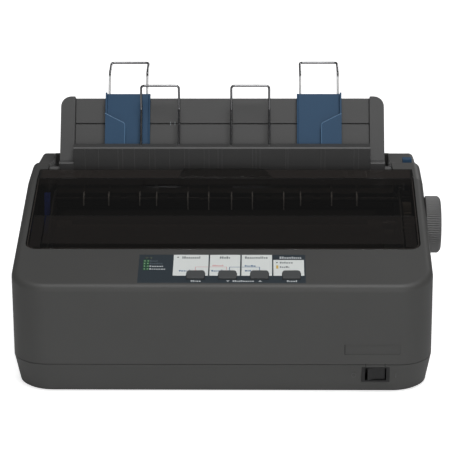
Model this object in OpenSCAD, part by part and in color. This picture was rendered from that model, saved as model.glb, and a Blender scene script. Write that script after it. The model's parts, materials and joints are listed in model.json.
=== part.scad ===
// Dot matrix printer with a hinged smoke cover, a tilting sheet guide and a rear push tractor.
// Millimetres, +Z up, front towards -Y. The origin is on the table, at the centre of the footprint.

/* [Case] */
// Width of the case
body_w = 337; // [331:1:345]
// Depth of the case
body_d = 275; // [272:1:290]
// Height of the sloping deck where it meets the front face
front_h = 92; // [91:0.5:94]
// Height of the flat rim behind the deck
rim_h = 124.8; // [124:0.2:128]
// Height of the case at its rear edge
rear_h = 112.3; // [110:0.1:114]
// Depth of the flat rim behind the sloping deck
rim_d = 47; // [45:0.5:49]
// Depth of the two shoulders behind the rim
shoulder_d = 60; // [58:0.5:62]
// Height of the seam between the lower and the upper case
seam_h = 25.8; // [25:0.2:27]
// Gap that shows as a dark line at the seam
seam_gap = 0.4; // [0.2:0.1:0.8]
// Height of the case's underside above the table
foot_h = 1.3; // [1.2:0.1:2.4]
// Wall of both case halves
case_wall = 2.5; // [2:0.1:3]
// Radius of the front corners, seen from above
case_corner_r = 28; // [20:1:32]
// Radius of the top edges
case_edge_r = 6; // [4:0.5:7]
// How far the lower case draws in on each side
lower_taper = 4; // [2:0.5:5]
// How much narrower each shoulder behind the rim is
shoulder_inset = 2; // [1.5:0.1:4]
// Height of the rear wall below the paper entry
rear_wall_h = 98; // [90:1:100]

/* [Printer cover] */
// Width of the case's rim on each side of the smoke cover
cover_side = 8.3; // [7.5:0.1:10]
// Distance from the cover's rear edge to the rear end of the rim
cover_back = 23.6; // [23:0.1:25]
// Thickness of the cover
cover_t = 2.2; // [1.8:0.1:2.6]
// Depth of the cover's edge flange below its top
cover_flange = 6; // [5:0.5:8]
// Radius of the cover's front corners
cover_corner_r = 9; // [6:0.5:12]
// Gap round the cover
cover_gap = 0.4; // [0.3:0.1:0.8]

/* [Control panel] */
// Width of the printed label
label_w = 133.4; // [130:0.2:136]
// Depth of the printed label along the deck
label_d = 42; // [40:0.5:44]
// Distance along the deck from the label to the front edge of the cover
label_back = 8.8; // [7:0.1:10]
// Distance along the deck from the front to the label
label_front = 6.2; // [6:0.1:7]
// Width of a button
button_w = 14.2; // [12:0.2:15]
// Depth of a button along the deck
button_d = 11.4; // [10:0.2:12]
// Height of a button above the deck
button_rise = 1.4; // [1:0.1:2]
// Clearance round a button
button_gap = 0.3; // [0.2:0.05:0.5]

/* [Paper path] */
// Distance of the paper's centre line from the centre of the case
paper_x0 = -4; // [-6:1:-2]
// Diameter of the platen
platen_d = 24; // [22:0.5:24]
// Room beside the platen on the narrower side of the paper's way
platen_room = 8.2; // [6:0.2:11]
// Distance from the platen's axis to the rear end of the rim
platen_back = 75; // [74:0.5:76]
// Height of the platen's axis
platen_h = 93.5; // [92.5:0.5:94]
// Diameter of the platen's shaft
platen_shaft_d = 8; // [7:0.5:9]
// Clearance of a running shaft in its bearing, on the radius
run_gap = 0.05; // [0.03:0.01:0.08]
// Diameter of the feed knob
knob_d = 48; // [44:1:49]
// How far the feed knob stands out from the side of the case
knob_t = 12.8; // [11:0.2:14]
// Diameter of the eject rollers
eject_d = 8; // [7:0.5:8.5]

/* [Gears] */
// Module of the feed gears
gear_m = 1; // [0.98:0.01:1.02]
// Width of the feed gears
gear_w = 7; // [5:0.5:7.5]

/* [Print head] */
// Diameter of the rod that the head carriage runs on
rod_d = 8; // [7:0.5:9]
// Distance from the carriage rod to the platen's axis behind it
rod_front = 36; // [35:0.5:37]
// Height of the carriage rod
rod_h = 50; // [49.5:0.5:51]
// Gap between the head carriage at rest and the left side frame
head_gap = 10.2; // [8:0.2:22]
// Radius of the timing belt's pulleys
pulley_r = 7; // [6.5:0.1:7.2]

/* [Sheet guide] */
// Gap between the sheet guide's left wall and the case
guide_gap_left = 8.7; // [8:0.1:10]
// Gap between the sheet guide's right wall and the case
guide_gap_right = 6.1; // [5:0.1:8]
// Angle at which the raised guide leans back
guide_lean = 33; // [30:1:36]
// Height of the guide's back panel along its slope
guide_len = 57; // [50:1:60]
// Width of each of the guide's side walls
guide_side_w = 12.5; // [12:0.1:15]
// Width of the case to the left of the gap that the guide folds into
notch_side_left = 14.7; // [14:0.1:16]
// Width of the case to the right of that gap
notch_side_right = 24.4; // [24:0.1:26]
// Width of an edge guide
edge_w = 39; // [36:1:42]
// Distance between the two edge guides' inner faces, for one sheet
sheet_w = 203.5; // [195:0.5:210]
// Diameter of the wire of the paper supports
wire_d = 2; // [1.6:0.1:2.2]
// Width of a wire support
wire_w = 35; // [32:1:36]

/* [Hidden] */
$fn = 96;
hull_fn = 32;
front_y = -body_d / 2;
half_w = body_w / 2;
rim_len = body_d - shoulder_d;
deck_len = rim_len - rim_d;
platen_y = rim_len - platen_back;
rod_y = platen_y - rod_front;
deck_slope = atan((rim_h - front_h) / deck_len);
shoulder_h = rim_h - 3.8;
inner_w = half_w - case_wall;

// Plates, frames and the space between them
sheet_t = 1.6;
chassis_z = 28;
chassis_t = 1.2;
chassis_top = chassis_z + chassis_t;
frame_left_x = -half_w + 22.5;
frame_right_x = half_w - 21.3;
rail_y = rod_y - 28;
frame_rear = body_d - 13;
chassis_x0 = frame_left_x - 10;
chassis_x1 = frame_right_x + 4;
chassis_y0 = rail_y - 14;
seat_gap = 0.2;

// Gear train on the right side frame: teeth, and the angle from each gear to the next
platen_teeth = 36;
idler_teeth = 40;
pinion_teeth = 12;
tractor_teeth = 24;
eject_teeth = 13;
platen_at = [platen_y, platen_h];
lower_idler_dir = -50;
rear_idler_dir = 14;
tractor_dir = 26;
pinion_dir = -140;
eject_dir = 40;
lower_idler_at = gear_next(platen_at, lower_idler_dir, platen_teeth, idler_teeth);
rear_idler_at = gear_next(lower_idler_at, rear_idler_dir, idler_teeth, idler_teeth);
tractor_at = gear_next(rear_idler_at, tractor_dir, idler_teeth, tractor_teeth);
pinion_at = gear_next(lower_idler_at, pinion_dir, idler_teeth, pinion_teeth);
eject_at = gear_next(platen_at, eject_dir, platen_teeth, eject_teeth);
platen_phase = 0;
lower_idler_phase = mesh_phase(platen_phase, platen_teeth, idler_teeth, lower_idler_dir);
rear_idler_phase = mesh_phase(lower_idler_phase, idler_teeth, idler_teeth, rear_idler_dir);
tractor_phase = mesh_phase(rear_idler_phase, idler_teeth, tractor_teeth, tractor_dir);
pinion_phase = mesh_phase(lower_idler_phase, idler_teeth, pinion_teeth, pinion_dir);
eject_phase = mesh_phase(platen_phase, platen_teeth, eject_teeth, eject_dir);
gear_x = frame_right_x + sheet_t + 1.2;
gear_bore_r = 2.5 + run_gap;
stub_r = 2.5;

// Shafts
platen_shaft_r = platen_shaft_d / 2;
rod_r = rod_d / 2;
eject_shaft_r = 2.5;
tractor_shaft_r = 3;
support_shaft_r = 2.5;
support_shaft_at = tractor_at + [23, -3];
rod_x0 = frame_left_x - 0.8;
rod_x1 = frame_right_x + sheet_t + 0.8;

// Cover
cover_w = body_w - 2 * cover_side;
cover_rear = rim_len - cover_back;
cover_front = (label_front + label_d + label_back) * cos(deck_slope);
cover_pin_r = 1.5;
cover_axis = [cover_rear - 2.7, rim_h - 3.2];
cover_top = 0.2;
bay_rear = cover_rear + 1.4;
frame_front = cover_front + 10;

// Sheet guide
guide_foot = [rim_len + 1, rim_h - 0.8];
guide_axis = [rim_len - 4, rim_h - 6.8];
guide_pin_r = 3;
notch_left = notch_side_left - half_w;
notch_right = half_w - notch_side_right;
guide_left = notch_left + guide_gap_left;
guide_right = notch_right - guide_gap_right;
guide_x0 = (guide_left + guide_right) / 2;
guide_wall = 2.4;
panel_t = 3;
panel_left = guide_left + guide_side_w;
panel_right = guide_right - guide_side_w;
side_proud = 4;
side_back = 8;
band_front = rim_len - 10;
band_top = guide_foot[1] + 16.3;
ledge_top = guide_foot[1] + 2.3;
base_low = guide_foot[1] - 11;
band_back = 9.3;
groove_v = 34;
groove_w = 1.2;

// Edge guides and their wires
edge_seat = 0.3;
edge_t = 3.6;
edge_depth = 8.6;
edge_top = guide_len + 3;
edge_skin = 1.5;
lip_w = 17.5;
edge_left_x = paper_x0 + 1.5 - sheet_w / 2 - edge_skin;
edge_right_x = paper_x0 + 1.5 + sheet_w / 2 + edge_skin;
wire_r = wire_d / 2;
wire_hole_r = wire_r + 0.1;
wire_elbow_r = wire_r + 0.05;
front_wire_w = band_back + 1.6;
front_wire_xs = [guide_x0 - 54, guide_x0 + 24.6];

// Tractors
tractor_w = 22;
tractor_inner = 7;
tractor_room = 10.9;
pin_pitch = 12.7;
tractor_r = 9.5;

// Buttons and the power switch
button_xs = [-20.75, 4.55, 30.1, 55.45];
button_s = 11.4;
switch_x = half_w - 45.8;
switch_z = foot_h + 15.6;
switch_w = 22.4;
switch_h = 13.2;
rocker_w = 14;
rocker_h = 10;
rocker_tilt = 8;

// Case details
label_t = 0.4;
recess_depth = 0.6;
lower_edge = 0.8;
light_r = 1.3;
light_at = [-label_w / 2 + 6, label_front + label_d - 5];
post_r = 4.2;
screw_r = 1.5;
// Feet: four near the corners and one in the middle that stops the floor of the case from sagging
foot_r = 7;
foot_places = [
    [-half_w + 32, fy(30)], [half_w - 32, fy(30)], [-half_w + 32, fy(body_d - 26)],
    [half_w - 32, fy(body_d - 26)], [0, 0]
];

// Circuit boards on posts of the lower case
board_t = 1.6;
board_x0 = frame_left_x + 8;
board_x1 = board_x0 + 128;
board_y1 = body_d - 7;
board_y0 = board_y1 - 142;
board_z = 19;
socket_d = 20;
power_x0 = 20;
power_x1 = 134;
power_y1 = body_d - 70;
power_y0 = power_y1 - 97;
power_z = 12;
// Openings in the rear wall for the sockets: [x0, x1, z0, z1]
port_z = board_z + board_t;
port_boxes = [
    [board_x0 + 8, board_x0 + 74, port_z, port_z + 14],
    [board_x0 + 80, board_x0 + 111, port_z, port_z + 12],
    [board_x0 + 115, board_x0 + 127, port_z, port_z + 11]
];
inlet_box = [frame_right_x - 40, frame_right_x - 12, 34, 56];

// Platen, its bushes and the paper's way round it
bush_r = platen_shaft_r + 2.5;
knob_x0 = half_w + 0.4;
knob_hub_r = 7;
chute_gap = 2;
chute_t = 2;
path_x0 = frame_left_x + sheet_t + seat_gap;
path_x1 = notch_right - 0.4;
// Half the width between the paper's centre line and the nearer side frame
paper_half = paper_x0 - path_x0;
platen_x0 = paper_x0 - paper_half + platen_room;
platen_x1 = paper_x0 + paper_half - platen_room;
exit_wall_y = eject_at[0] + eject_d / 2 + 0.4;
exit_rib_xs = [-116, -94.7, -68.3, -54, -27.4, -9.7, 9.7, 27.4, 54, 68.3, 94.7, 116];

// Belt drive of the head
pulley_y = rod_y - 14;
pulley_z = 34;
pulley_h = 8;
drive_pulley_x = -half_w + 36.5;
idler_pulley_x = half_w - 36.5;
belt_t = 1.2;
belt_r = pulley_r + 0.2;
belt_back = pulley_y + belt_r + belt_t;
rail_z = 46;
carriage_motor_r = 17;
carriage_half = 22;
head_x = path_x0 + head_gap + carriage_half;
carriage_top = 61.5;
nose_tip = platen_y - platen_d / 2 - 1.4;

// Ribbon cartridge: a flat box across the printer with an arm at each end
cartridge_z = 91;
cart_half = paper_half - 4.2;
cart_h = 11;
cart_front = cover_front + 16;
cart_back = platen_y - 24.2;
shelf_front = cart_front + 6;
shelf_back = cart_back - 5.8;
ribbon_knob_at = [paper_x0 + cart_half - 20, (cart_front + cart_back) / 2];

// Half the distance between the two tractors' pins, with the tractors in their outer places
pin_half = paper_half - tractor_room - tractor_w + tractor_inner;

// Flaps that hold the paper down on the tractors
flap_y0 = tractor_at[0] - 3;
flap_y1 = support_shaft_at[0] + 5;
flap_z = tractor_at[1] + tractor_r + 3.4;
flap_t = 2.2;

// Levers and the rocker
release_at = [rim_len + 15, 66];
lever_tip_y = rim_len + 9;
lever_slot_x = half_w - 10.3;
lever_top = shoulder_z(lever_tip_y - 4) + 0.5;
lever_stub_at = [platen_y + 10, 84];
rocker_y = 5.5;
bezel_front = 0.8;
bezel_back = 4.4;
switch_lip = 0.5;

// Y of a place that is given as a distance behind the front face
function fy(y) = front_y + y;
// Centre of the gear that meshes with one at p, in a direction, as [distance behind the front, height]
function gear_next(p, dir, t1, t2) = p + (t1 + t2) / 2 * gear_m * [cos(dir), sin(dir)];
// Phase at which a gear of t2 teeth meshes with one of t1 teeth and phase a
function mesh_phase(a, t1, t2, dir) = dir + 180 - (a - dir) * t1 / t2 + 180 / t2;
// Height of the deck's surface, or of the rim behind it, at a distance behind the front
function deck_h(y) = y < deck_len ? front_h + y * tan(deck_slope) : rim_h;
// Height of the shoulder behind the rim
function shoulder_z(y) = shoulder_h + (rear_h - shoulder_h) * (y - rim_len) / (body_d - rim_len);

// ---- Shared shapes ----

// Extrudes a side view, drawn as [distance behind the front, height], from x0 to x1
module side_extrude(x0, x1) {
    translate([x0, front_y, 0]) rotate([90, 0, 90]) linear_extrude(x1 - x0) children();
}

// A round bar along X from x0 to x1, at a place given as [distance behind the front, height]
module bar(at, r, x0, x1) {
    translate([x0, fy(at[0]), at[1]]) rotate([0, 90, 0]) cylinder(r = r, h = x1 - x0);
}

// A box given by its lowest and highest corner, with Y behind the front face
module block(lo, hi) {
    translate([lo[0], fy(lo[1]), lo[2]]) cube(hi - lo);
}

// Lays its children on the deck: X across, Y up the slope from the front edge, Z out of it
module on_deck() {
    translate([0, front_y, front_h]) rotate([deck_slope, 0, 0]) children();
}

// Frame of the raised sheet guide: X across, Y to the back of the panel, Z up the panel
module on_guide() {
    translate([0, fy(guide_foot[0]), guide_foot[1]]) rotate([-guide_lean, 0, 0]) children();
}

// Plan outline with rounded front corners only
module front_rounded(w, y0, y1, r) {
    translate([-w / 2, fy(y0) + r]) square([w, y1 - y0 - r]);
    translate([-w / 2 + r, fy(y0)]) square([w - 2 * r, r + 0.1]);
    for (s = [-1, 1]) translate([s * (w / 2 - r), fy(y0) + r]) circle(r);
}

// Side view band that follows the deck and the rim, between two depths below the surface
module deck_band(y0, y1, top, bottom) {
    polygon([
        [y0, deck_h(y0) - top], [deck_len, rim_h - top], [y1, rim_h - top],
        [y1, rim_h - bottom], [deck_len, rim_h - bottom], [y0, deck_h(y0) - bottom]
    ]);
}

// Spur gear with straight flanks, cut thin enough to run with play
module gear(at, teeth, width, bore_r, phase, x = gear_x) {
    rp = teeth * gear_m / 2;
    tip = rp + 0.85 * gear_m;
    root = rp - 1.3 * gear_m;
    difference() {
        side_extrude(x, x + width) translate(at) rotate(phase) union() {
            circle(root);
            for (i = [0:teeth - 1]) rotate(i * 360 / teeth) polygon([
                [root - 0.4, -0.95 * gear_m], [tip, -0.27 * gear_m],
                [tip, 0.27 * gear_m], [root - 0.4, 0.95 * gear_m]
            ]);
        }
        bar(at, bore_r, x - 1, x + width + 1);
    }
}

// A straight stretch of the supports' wire
module wire_leg(h) { cylinder(r = wire_r, h = h, $fn = 24); }

// ---- Case ----

// Outer form of the lower case at one height, drawn in by an inset
module lower_outline(inset) {
    front_rounded(body_w - 2 * inset, inset, rim_len - inset / 2, case_corner_r);
}

// Outer form of the lower case behind the rim
module lower_rear_outline(inset) {
    w = body_w - 2 * shoulder_inset - 2 * inset;
    translate([-w / 2, fy(rim_len - 20)]) square([w, body_d - rim_len + 20 - inset]);
}

// Solid lower tub from a height z0, drawn in by the wall when it is the hollow inside
module lower_tub(shrink, z0) {
    top = seam_h - seam_gap;
    levels = [
        [top, shrink], [z0 + lower_edge, lower_taper + shrink], [z0, lower_taper + lower_edge + shrink]
    ];
    hull() for (l = levels) translate([0, 0, l[0]]) linear_extrude(0.01) lower_outline(l[1]);
    hull() for (l = levels) translate([0, 0, l[0]]) linear_extrude(0.01) lower_rear_outline(l[1]);
}

// Posts of the lower case: [x, distance behind the front, height of the top]
function chassis_posts() = [
    [frame_left_x - 5, platen_y - 22, chassis_z], [frame_left_x - 5, frame_rear - 12, chassis_z],
    [frame_right_x - 3.2, chassis_y0 + 6, chassis_z], [frame_right_x - 3.2, frame_rear - 12, chassis_z],
    [-60, chassis_y0 + 6, chassis_z]
];
function board_posts() = [
    for (x = [board_x0 + 6, board_x1 - 6], y = [board_y0 + 6, board_y1 - 22]) [x, y, board_z],
    for (x = [power_x0 + 6, power_x1 - 6], y = [power_y0 + 6, power_y1 - 6]) [x, y, power_z]
];

module rear_cut(box, gap) {
    block([box[0] - gap, body_d - 8, box[2] - gap], [box[1] + gap, body_d + 2, box[3] + gap]);
}

// A box with the switch's outline, drawn in by an inset
module switch_block(inset, y0, y1) {
    w = switch_w / 2 - inset;
    h = switch_h / 2 - inset;
    block([switch_x - w, y0, switch_z - h], [switch_x + w, y1, switch_z + h]);
}

module lower_case() {
    floor_z = foot_h + case_wall;
    color([0.25, 0.25, 0.26]) difference() {
        union() {
            difference() {
                lower_tub(0, foot_h);
                lower_tub(case_wall, floor_z);
            }
            for (p = concat(chassis_posts(), board_posts())) translate([p[0], fy(p[1]), floor_z - 0.1])
                cylinder(r = post_r, h = p[2] - floor_z + 0.1);
        }
        for (p = concat(chassis_posts(), board_posts())) translate([p[0], fy(p[1]), floor_z + 1])
            cylinder(r = screw_r, h = p[2]);
        for (p = foot_places) translate([p[0], p[1], 0]) cylinder(r = foot_r, h = foot_h + 1);
        switch_block(0, -2, bezel_back);
        switch_block(switch_lip, 0, 20);
        for (b = port_boxes) rear_cut(b, seat_gap);
        for (i = [0:11]) block([-60 + 9 * i, 30, 0], [-56 + 9 * i, 56, 8]);
    }
}

// Rounded disc whose edge is a half circle: the front corner of the deck
module corner_puck() {
    rotate_extrude($fn = 96) {
        translate([case_corner_r - case_edge_r, 0]) circle(case_edge_r, $fn = hull_fn);
        translate([0, -case_edge_r]) square([case_corner_r - case_edge_r, 2 * case_edge_r]);
    }
}

// Outer form of the case up to the rear end of the rim
module rim_form() {
    low = seam_h;
    hull() for (s = [-1, 1]) {
        translate([s * (half_w - case_corner_r), fy(case_corner_r), low])
            cylinder(r = case_corner_r, h = 1, $fn = 96);
        translate([s * (half_w - case_corner_r), 0, 0]) on_deck()
            translate([0, case_corner_r, -case_edge_r]) corner_puck();
        for (y = [deck_len, rim_len - case_edge_r])
            translate([s * (half_w - case_edge_r), fy(y), rim_h - case_edge_r])
                sphere(r = case_edge_r, $fn = hull_fn);
        translate([s * (half_w - 0.5), fy(rim_len) - 0.5, low + 0.5]) cube(1, center = true);
    }
}

// Outer form of the two shoulders and the rear wall, before the gap between them is cut
module shoulder_form() {
    w = half_w - shoulder_inset;
    r = case_edge_r - 2;
    hull() for (s = [-1, 1]) {
        for (p = [[rim_len - 12, shoulder_z(rim_len - 12)], [body_d - r, shoulder_z(body_d - r)]])
            translate([s * (w - r), fy(p[0]), p[1] - r]) sphere(r = r, $fn = hull_fn);
        for (y = [rim_len - 12, body_d - 0.5])
            translate([s * (w - 0.5), fy(y), seam_h + 0.5]) cube(1, center = true);
    }
}

// Hollow inside of the upper case
module upper_hollow() {
    t = case_wall;
    intersection() {
        side_extrude(-inner_w, inner_w) polygon([
            [t, seam_h - 1], [t, deck_h(t) - t - 1], [deck_len, rim_h - t],
            [rim_len - t, rim_h - t], [rim_len - t, seam_h - 1]
        ]);
        linear_extrude(rim_h) front_rounded(2 * inner_w, t, rim_len, case_corner_r - t);
    }
    side_extrude(-inner_w + shoulder_inset, inner_w - shoulder_inset) polygon([
        [rim_len - 14, seam_h - 1], [rim_len - 14, shoulder_z(rim_len - 14) - t],
        [body_d - t, shoulder_z(body_d - t) - t], [body_d - t, seam_h - 1]
    ]);
}

// Plan outline of the opening for the cover, grown by g
module bay_outline(g) {
    w = cover_w + 2 * cover_gap + 2 * g;
    front_rounded(w, cover_front - cover_gap - g, bay_rear + g, cover_corner_r + cover_gap + g);
}

// Walls that hang from the rim round the cover's opening
module bay_skirt() {
    intersection() {
        linear_extrude(rim_h + 1) difference() {
            bay_outline(case_wall);
            bay_outline(0);
        }
        side_extrude(-half_w, half_w) deck_band(cover_front - 8, bay_rear + case_wall, 1.5, 12);
    }
}

// Walls on both sides of the gap that the sheet guide folds into
module notch_walls() {
    for (x = [notch_left - case_wall, notch_right]) side_extrude(x, x + case_wall) polygon([
        [bay_rear, 104], [bay_rear, rim_h - 1], [rim_len - 2, rim_h - 1],
        [rim_len + 2, shoulder_z(rim_len + 2) - 1], [body_d - 1, shoulder_z(body_d) - 1],
        [body_d - 1, 90], [body_d - 20, 90]
    ]);
}

module button_outline(gap) {
    r = 2.5 + gap;
    w = button_w + 2 * gap;
    d = button_d + 2 * gap;
    translate([-w / 2, -gap]) square([w, d - r]);
    translate([-w / 2 + r, -gap]) square([w - 2 * r, d]);
    for (s = [-1, 1]) translate([s * (w / 2 - r), d - gap - r]) circle(r, $fn = 48);
}

function light_places() = [for (i = [0:1]) light_at + [3.4 * i, 0]];

module upper_case() {
    color([0.27, 0.27, 0.27]) difference() {
        union() {
            difference() {
                union() {
                    rim_form();
                    shoulder_form();
                }
                upper_hollow();
            }
            bay_skirt();
            notch_walls();
        }
        linear_extrude(rim_h + 1) bay_outline(0);
        block([notch_left, cover_rear - 2, rear_wall_h], [notch_right, body_d + 1, rim_h + 1]);
        block([notch_left, cover_rear - 2, seam_h], [notch_right, body_d - case_wall, rim_h + 1]);
        for (x = [notch_left - 2 * case_wall, notch_right - 1])
            bar(guide_axis, guide_pin_r + run_gap, x, x + 2 * case_wall + 1);
        for (x = [-1, 1] * (cover_w / 2 + 2)) bar(cover_axis, cover_pin_r + run_gap, x - 2.5, x + 2.5);
        bar(platen_at, knob_hub_r + 0.5, inner_w - 1, half_w + 1);
        on_deck() {
            translate([-label_w / 2, label_front, -label_t]) cube([label_w, label_d, label_t + 1]);
            for (x = button_xs) translate([x, button_s, -8]) linear_extrude(10) button_outline(button_gap);
            for (p = light_places()) translate([p[0], p[1], -8]) cylinder(r = light_r, h = 10);
        }
        block([half_w - 70.6, -1, 34.4], [half_w - 26.3, recess_depth, 42.9]);
        block([lever_slot_x - 1.9, lever_tip_y - 5, 100], [lever_slot_x + 1.9, lever_tip_y + 17, rim_h + 1]);
        rear_cut(inlet_box, seat_gap);
        for (b = port_boxes) rear_cut(b, seat_gap);
        for (i = [0:9]) block([-20 + 8 * i, body_d - 5, 40], [-16 + 8 * i, body_d + 1, 70]);
    }
}

module control_panel_label() {
    color([0.10, 0.13, 0.16]) on_deck() difference() {
        translate([-label_w / 2, label_front, -label_t]) cube([label_w, label_d, label_t]);
        for (x = button_xs) translate([x, button_s, -2]) linear_extrude(4) button_outline(button_gap);
        for (p = light_places()) translate([p[0], p[1], -2]) cylinder(r = light_r, h = 4);
    }
}

module status_lights() {
    color([0.35, 0.45, 0.30]) on_deck() for (p = light_places())
        translate([p[0], p[1], -5]) cylinder(r = light_r, h = 5.3);
}

module rubber_feet() {
    color([0.08, 0.08, 0.08]) for (p = foot_places) translate([p[0], p[1], 0]) {
        cylinder(r1 = foot_r - 0.8, r2 = foot_r - 0.2, h = foot_h - 0.3);
        translate([0, 0, foot_h - 0.3]) cylinder(r = foot_r, h = 1.3);
    }
}

module screw(x, y, z) {
    translate([x, fy(y), z]) {
        difference() {
            cylinder(r = 3, h = 1.8);
            for (a = [0, 90]) rotate(a) translate([-2, -0.4, 1]) cube([4, 0.8, 1]);
        }
        translate([0, 0, -7]) cylinder(r = screw_r, h = 7);
    }
}

module screws() {
    color([0.7, 0.7, 0.72]) {
        for (p = chassis_posts()) screw(p[0], p[1], chassis_top);
        for (p = board_posts()) screw(p[0], p[1], p[2] + board_t);
    }
}

// ---- Frame of the mechanism ----

module chassis_plate() {
    color([0.62, 0.64, 0.66]) difference() {
        union() {
            block([chassis_x0, chassis_y0, chassis_z], [chassis_x1, frame_rear, chassis_top]);
            block([chassis_x0, chassis_y0, chassis_top - 0.1],
                  [chassis_x1, chassis_y0 + chassis_t, chassis_top + 6]);
            translate([idler_pulley_x, fy(pulley_y), chassis_top - 0.1]) {
                cylinder(r = 4, h = pulley_z - chassis_top - 0.2);
                cylinder(r = 2, h = pulley_z + pulley_h - chassis_top + 1.1);
            }
        }
        for (p = chassis_posts()) translate([p[0], fy(p[1]), 0]) cylinder(r = screw_r, h = 60);
        translate([drive_pulley_x, fy(pulley_y), 0]) cylinder(r = 5, h = 60);
        // Opening over the power board, and room for the sockets at the rear
        block([-40, platen_y + 10, 0], [60, frame_rear - 27, 60]);
        block([board_x0 + 6, body_d - socket_d - 1, 0], [board_x1 + 1, frame_rear + 1, 60]);
    }
}

// Side view of a side frame, with the top under the cover and lower behind it
module frame_outline() {
    polygon([
        [frame_front, chassis_top], [frame_front, 88], [platen_y - 28, 103], [platen_y + 8, 113.5],
        [platen_y + 30, 113.5], [platen_y + 42, 100], [frame_rear, 100], [frame_rear, chassis_top]
    ]);
}

module side_frame(x, hand) {
    difference() {
        union() {
            side_extrude(x, x + sheet_t) frame_outline();
            // Shelf that carries the end of the ribbon cartridge, and foot on the chassis plate
            block([hand > 0 ? x - 16 : x + 0.2, shelf_front, cartridge_z - 1.2],
                  [hand > 0 ? x + 0.2 : x + sheet_t + 10, shelf_back, cartridge_z]);
            children();
        }
        bar(platen_at, bush_r, x - 1, x + sheet_t + 1);
        bar([rod_y, rod_h], rod_r, x - 1, x + sheet_t + 1);
        bar(eject_at, eject_shaft_r + run_gap, x - 1, x + sheet_t + 1);
        bar(tractor_at, tractor_shaft_r + run_gap, x - 1, x + sheet_t + 1);
        bar(support_shaft_at, support_shaft_r, x - 1, x + sheet_t + 1);
        bar(pinion_at, 4, x - 1, x + sheet_t + 1);
    }
}

module side_frame_left() {
    color([0.66, 0.68, 0.70]) side_frame(frame_left_x, -1)
        bar(lever_stub_at, stub_r, frame_left_x - 8, frame_left_x + 0.2);
}

module side_frame_right() {
    x = frame_right_x + sheet_t - 0.2;
    color([0.66, 0.68, 0.70]) side_frame(frame_right_x, 1) {
        for (at = [lower_idler_at, rear_idler_at]) bar(at, stub_r, x, gear_x + gear_w + 0.3);
        for (at = [lower_idler_at, rear_idler_at]) bar(at, stub_r + 1.5, x, gear_x - 0.3);
        bar(release_at, stub_r, x, lever_slot_x + 1.4);
    }
}

module platen_bushes() {
    color([0.85, 0.83, 0.75]) for (side = [-1, 1]) {
        x = side < 0 ? frame_left_x : frame_right_x;
        difference() {
            union() {
                bar(platen_at, bush_r, x, x + sheet_t);
                bar(platen_at, bush_r + 1.5, side < 0 ? x + sheet_t : x - 1, side < 0 ? x + sheet_t + 1 : x);
            }
            bar(platen_at, platen_shaft_r + run_gap, x - 2, x + sheet_t + 2);
        }
    }
}

// Points of an arc in a side view
function arc_points(c, r, a0, a1, steps) = [
    for (i = [0:steps]) let (a = a0 + (a1 - a0) * i / steps) c + r * [cos(a), sin(a)]
];

// Curved chute that leads the sheet down, under the platen and up in front of it
module paper_chute() {
    r0 = platen_d / 2 + chute_gap;
    r1 = r0 + chute_t;
    color([0.13, 0.13, 0.14]) {
        side_extrude(path_x0, path_x1) polygon(concat(
            arc_points(platen_at, r1, 220, 345, 40),
            [[rim_len - 17, 109], [rim_len - 17, 109 + chute_t]],
            arc_points(platen_at, r0, 350, 220, 40)
        ));
    }
}

// Guide behind the platen, with the ribs that the printed sheet slides up over
module exit_guide() {
    y = exit_wall_y + 0.8;
    end = bay_rear + 6;
    // The ribs step down where the finger tab of the open cover passes
    step = cover_axis[0] - 1;
    color([0.10, 0.10, 0.10]) {
        side_extrude(path_x0, path_x1) polygon([
            [y, 100], [y + 2, 100], [y + 2, 112], [end, 113.9], [end, 115.9], [y + 4, 115.9], [y, 113]
        ]);
        for (x = exit_rib_xs) side_extrude(paper_x0 + x - 0.8, paper_x0 + x + 0.8) polygon([
            [y + 0.1, 101], [y - 0.8, 103], [y - 0.8, 114.2], [y + 3, 118], [step - 2, 117.8], [step, 116],
            [end, 116], [end, 115.8], [y + 3, 113]
        ]);
    }
}

// ---- Print head and its drive ----

module carriage_rod() {
    color([0.80, 0.81, 0.82]) bar([rod_y, rod_h], rod_r, rod_x0, rod_x1);
}

// Folded strip that carries the front of the carriage
module carriage_rail() {
    t = chassis_t;
    color([0.70, 0.72, 0.74]) side_extrude(path_x0, frame_right_x - seat_gap) polygon([
        [rail_y, chassis_top], [rail_y, rail_z], [rail_y + 8, rail_z], [rail_y + 8, rail_z - t],
        [rail_y + t, rail_z - t], [rail_y + t, chassis_top]
    ]);
}

module belt_outline(r) {
    for (x = [drive_pulley_x, idler_pulley_x]) translate([x, fy(pulley_y)]) circle(r);
    translate([drive_pulley_x, fy(pulley_y) - r]) square([idler_pulley_x - drive_pulley_x, 2 * r]);
}

module timing_belt() {
    color([0.07, 0.07, 0.07]) translate([0, 0, pulley_z + 1]) linear_extrude(pulley_h - 2) difference() {
        belt_outline(belt_r + belt_t);
        belt_outline(belt_r);
    }
}

// A pulley with a flange above and below the belt
module pulley(x) {
    translate([x, fy(pulley_y), pulley_z]) {
        cylinder(r = pulley_r, h = pulley_h);
        for (z = [0, pulley_h - 0.8]) translate([0, 0, z]) cylinder(r = pulley_r + 1, h = 0.8);
    }
}

module drive_pulley() {
    color([0.75, 0.72, 0.55]) union() {
        pulley(drive_pulley_x);
        translate([drive_pulley_x, fy(pulley_y), chassis_z + 0.3])
            cylinder(r = 1.5, h = pulley_z - chassis_z);
    }
}

module idler_pulley() {
    color([0.85, 0.85, 0.83]) difference() {
        pulley(idler_pulley_x);
        translate([idler_pulley_x, fy(pulley_y), 0]) cylinder(r = 2 + run_gap, h = 60);
    }
}

module carriage_motor() {
    color([0.55, 0.56, 0.58]) translate([drive_pulley_x, fy(pulley_y), foot_h + case_wall + 1]) {
        cylinder(r = carriage_motor_r, h = chassis_z - foot_h - case_wall - 2);
        translate([0, 0, 1]) cylinder(r = 6, h = chassis_z - foot_h - case_wall - 2);
    }
}

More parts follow.
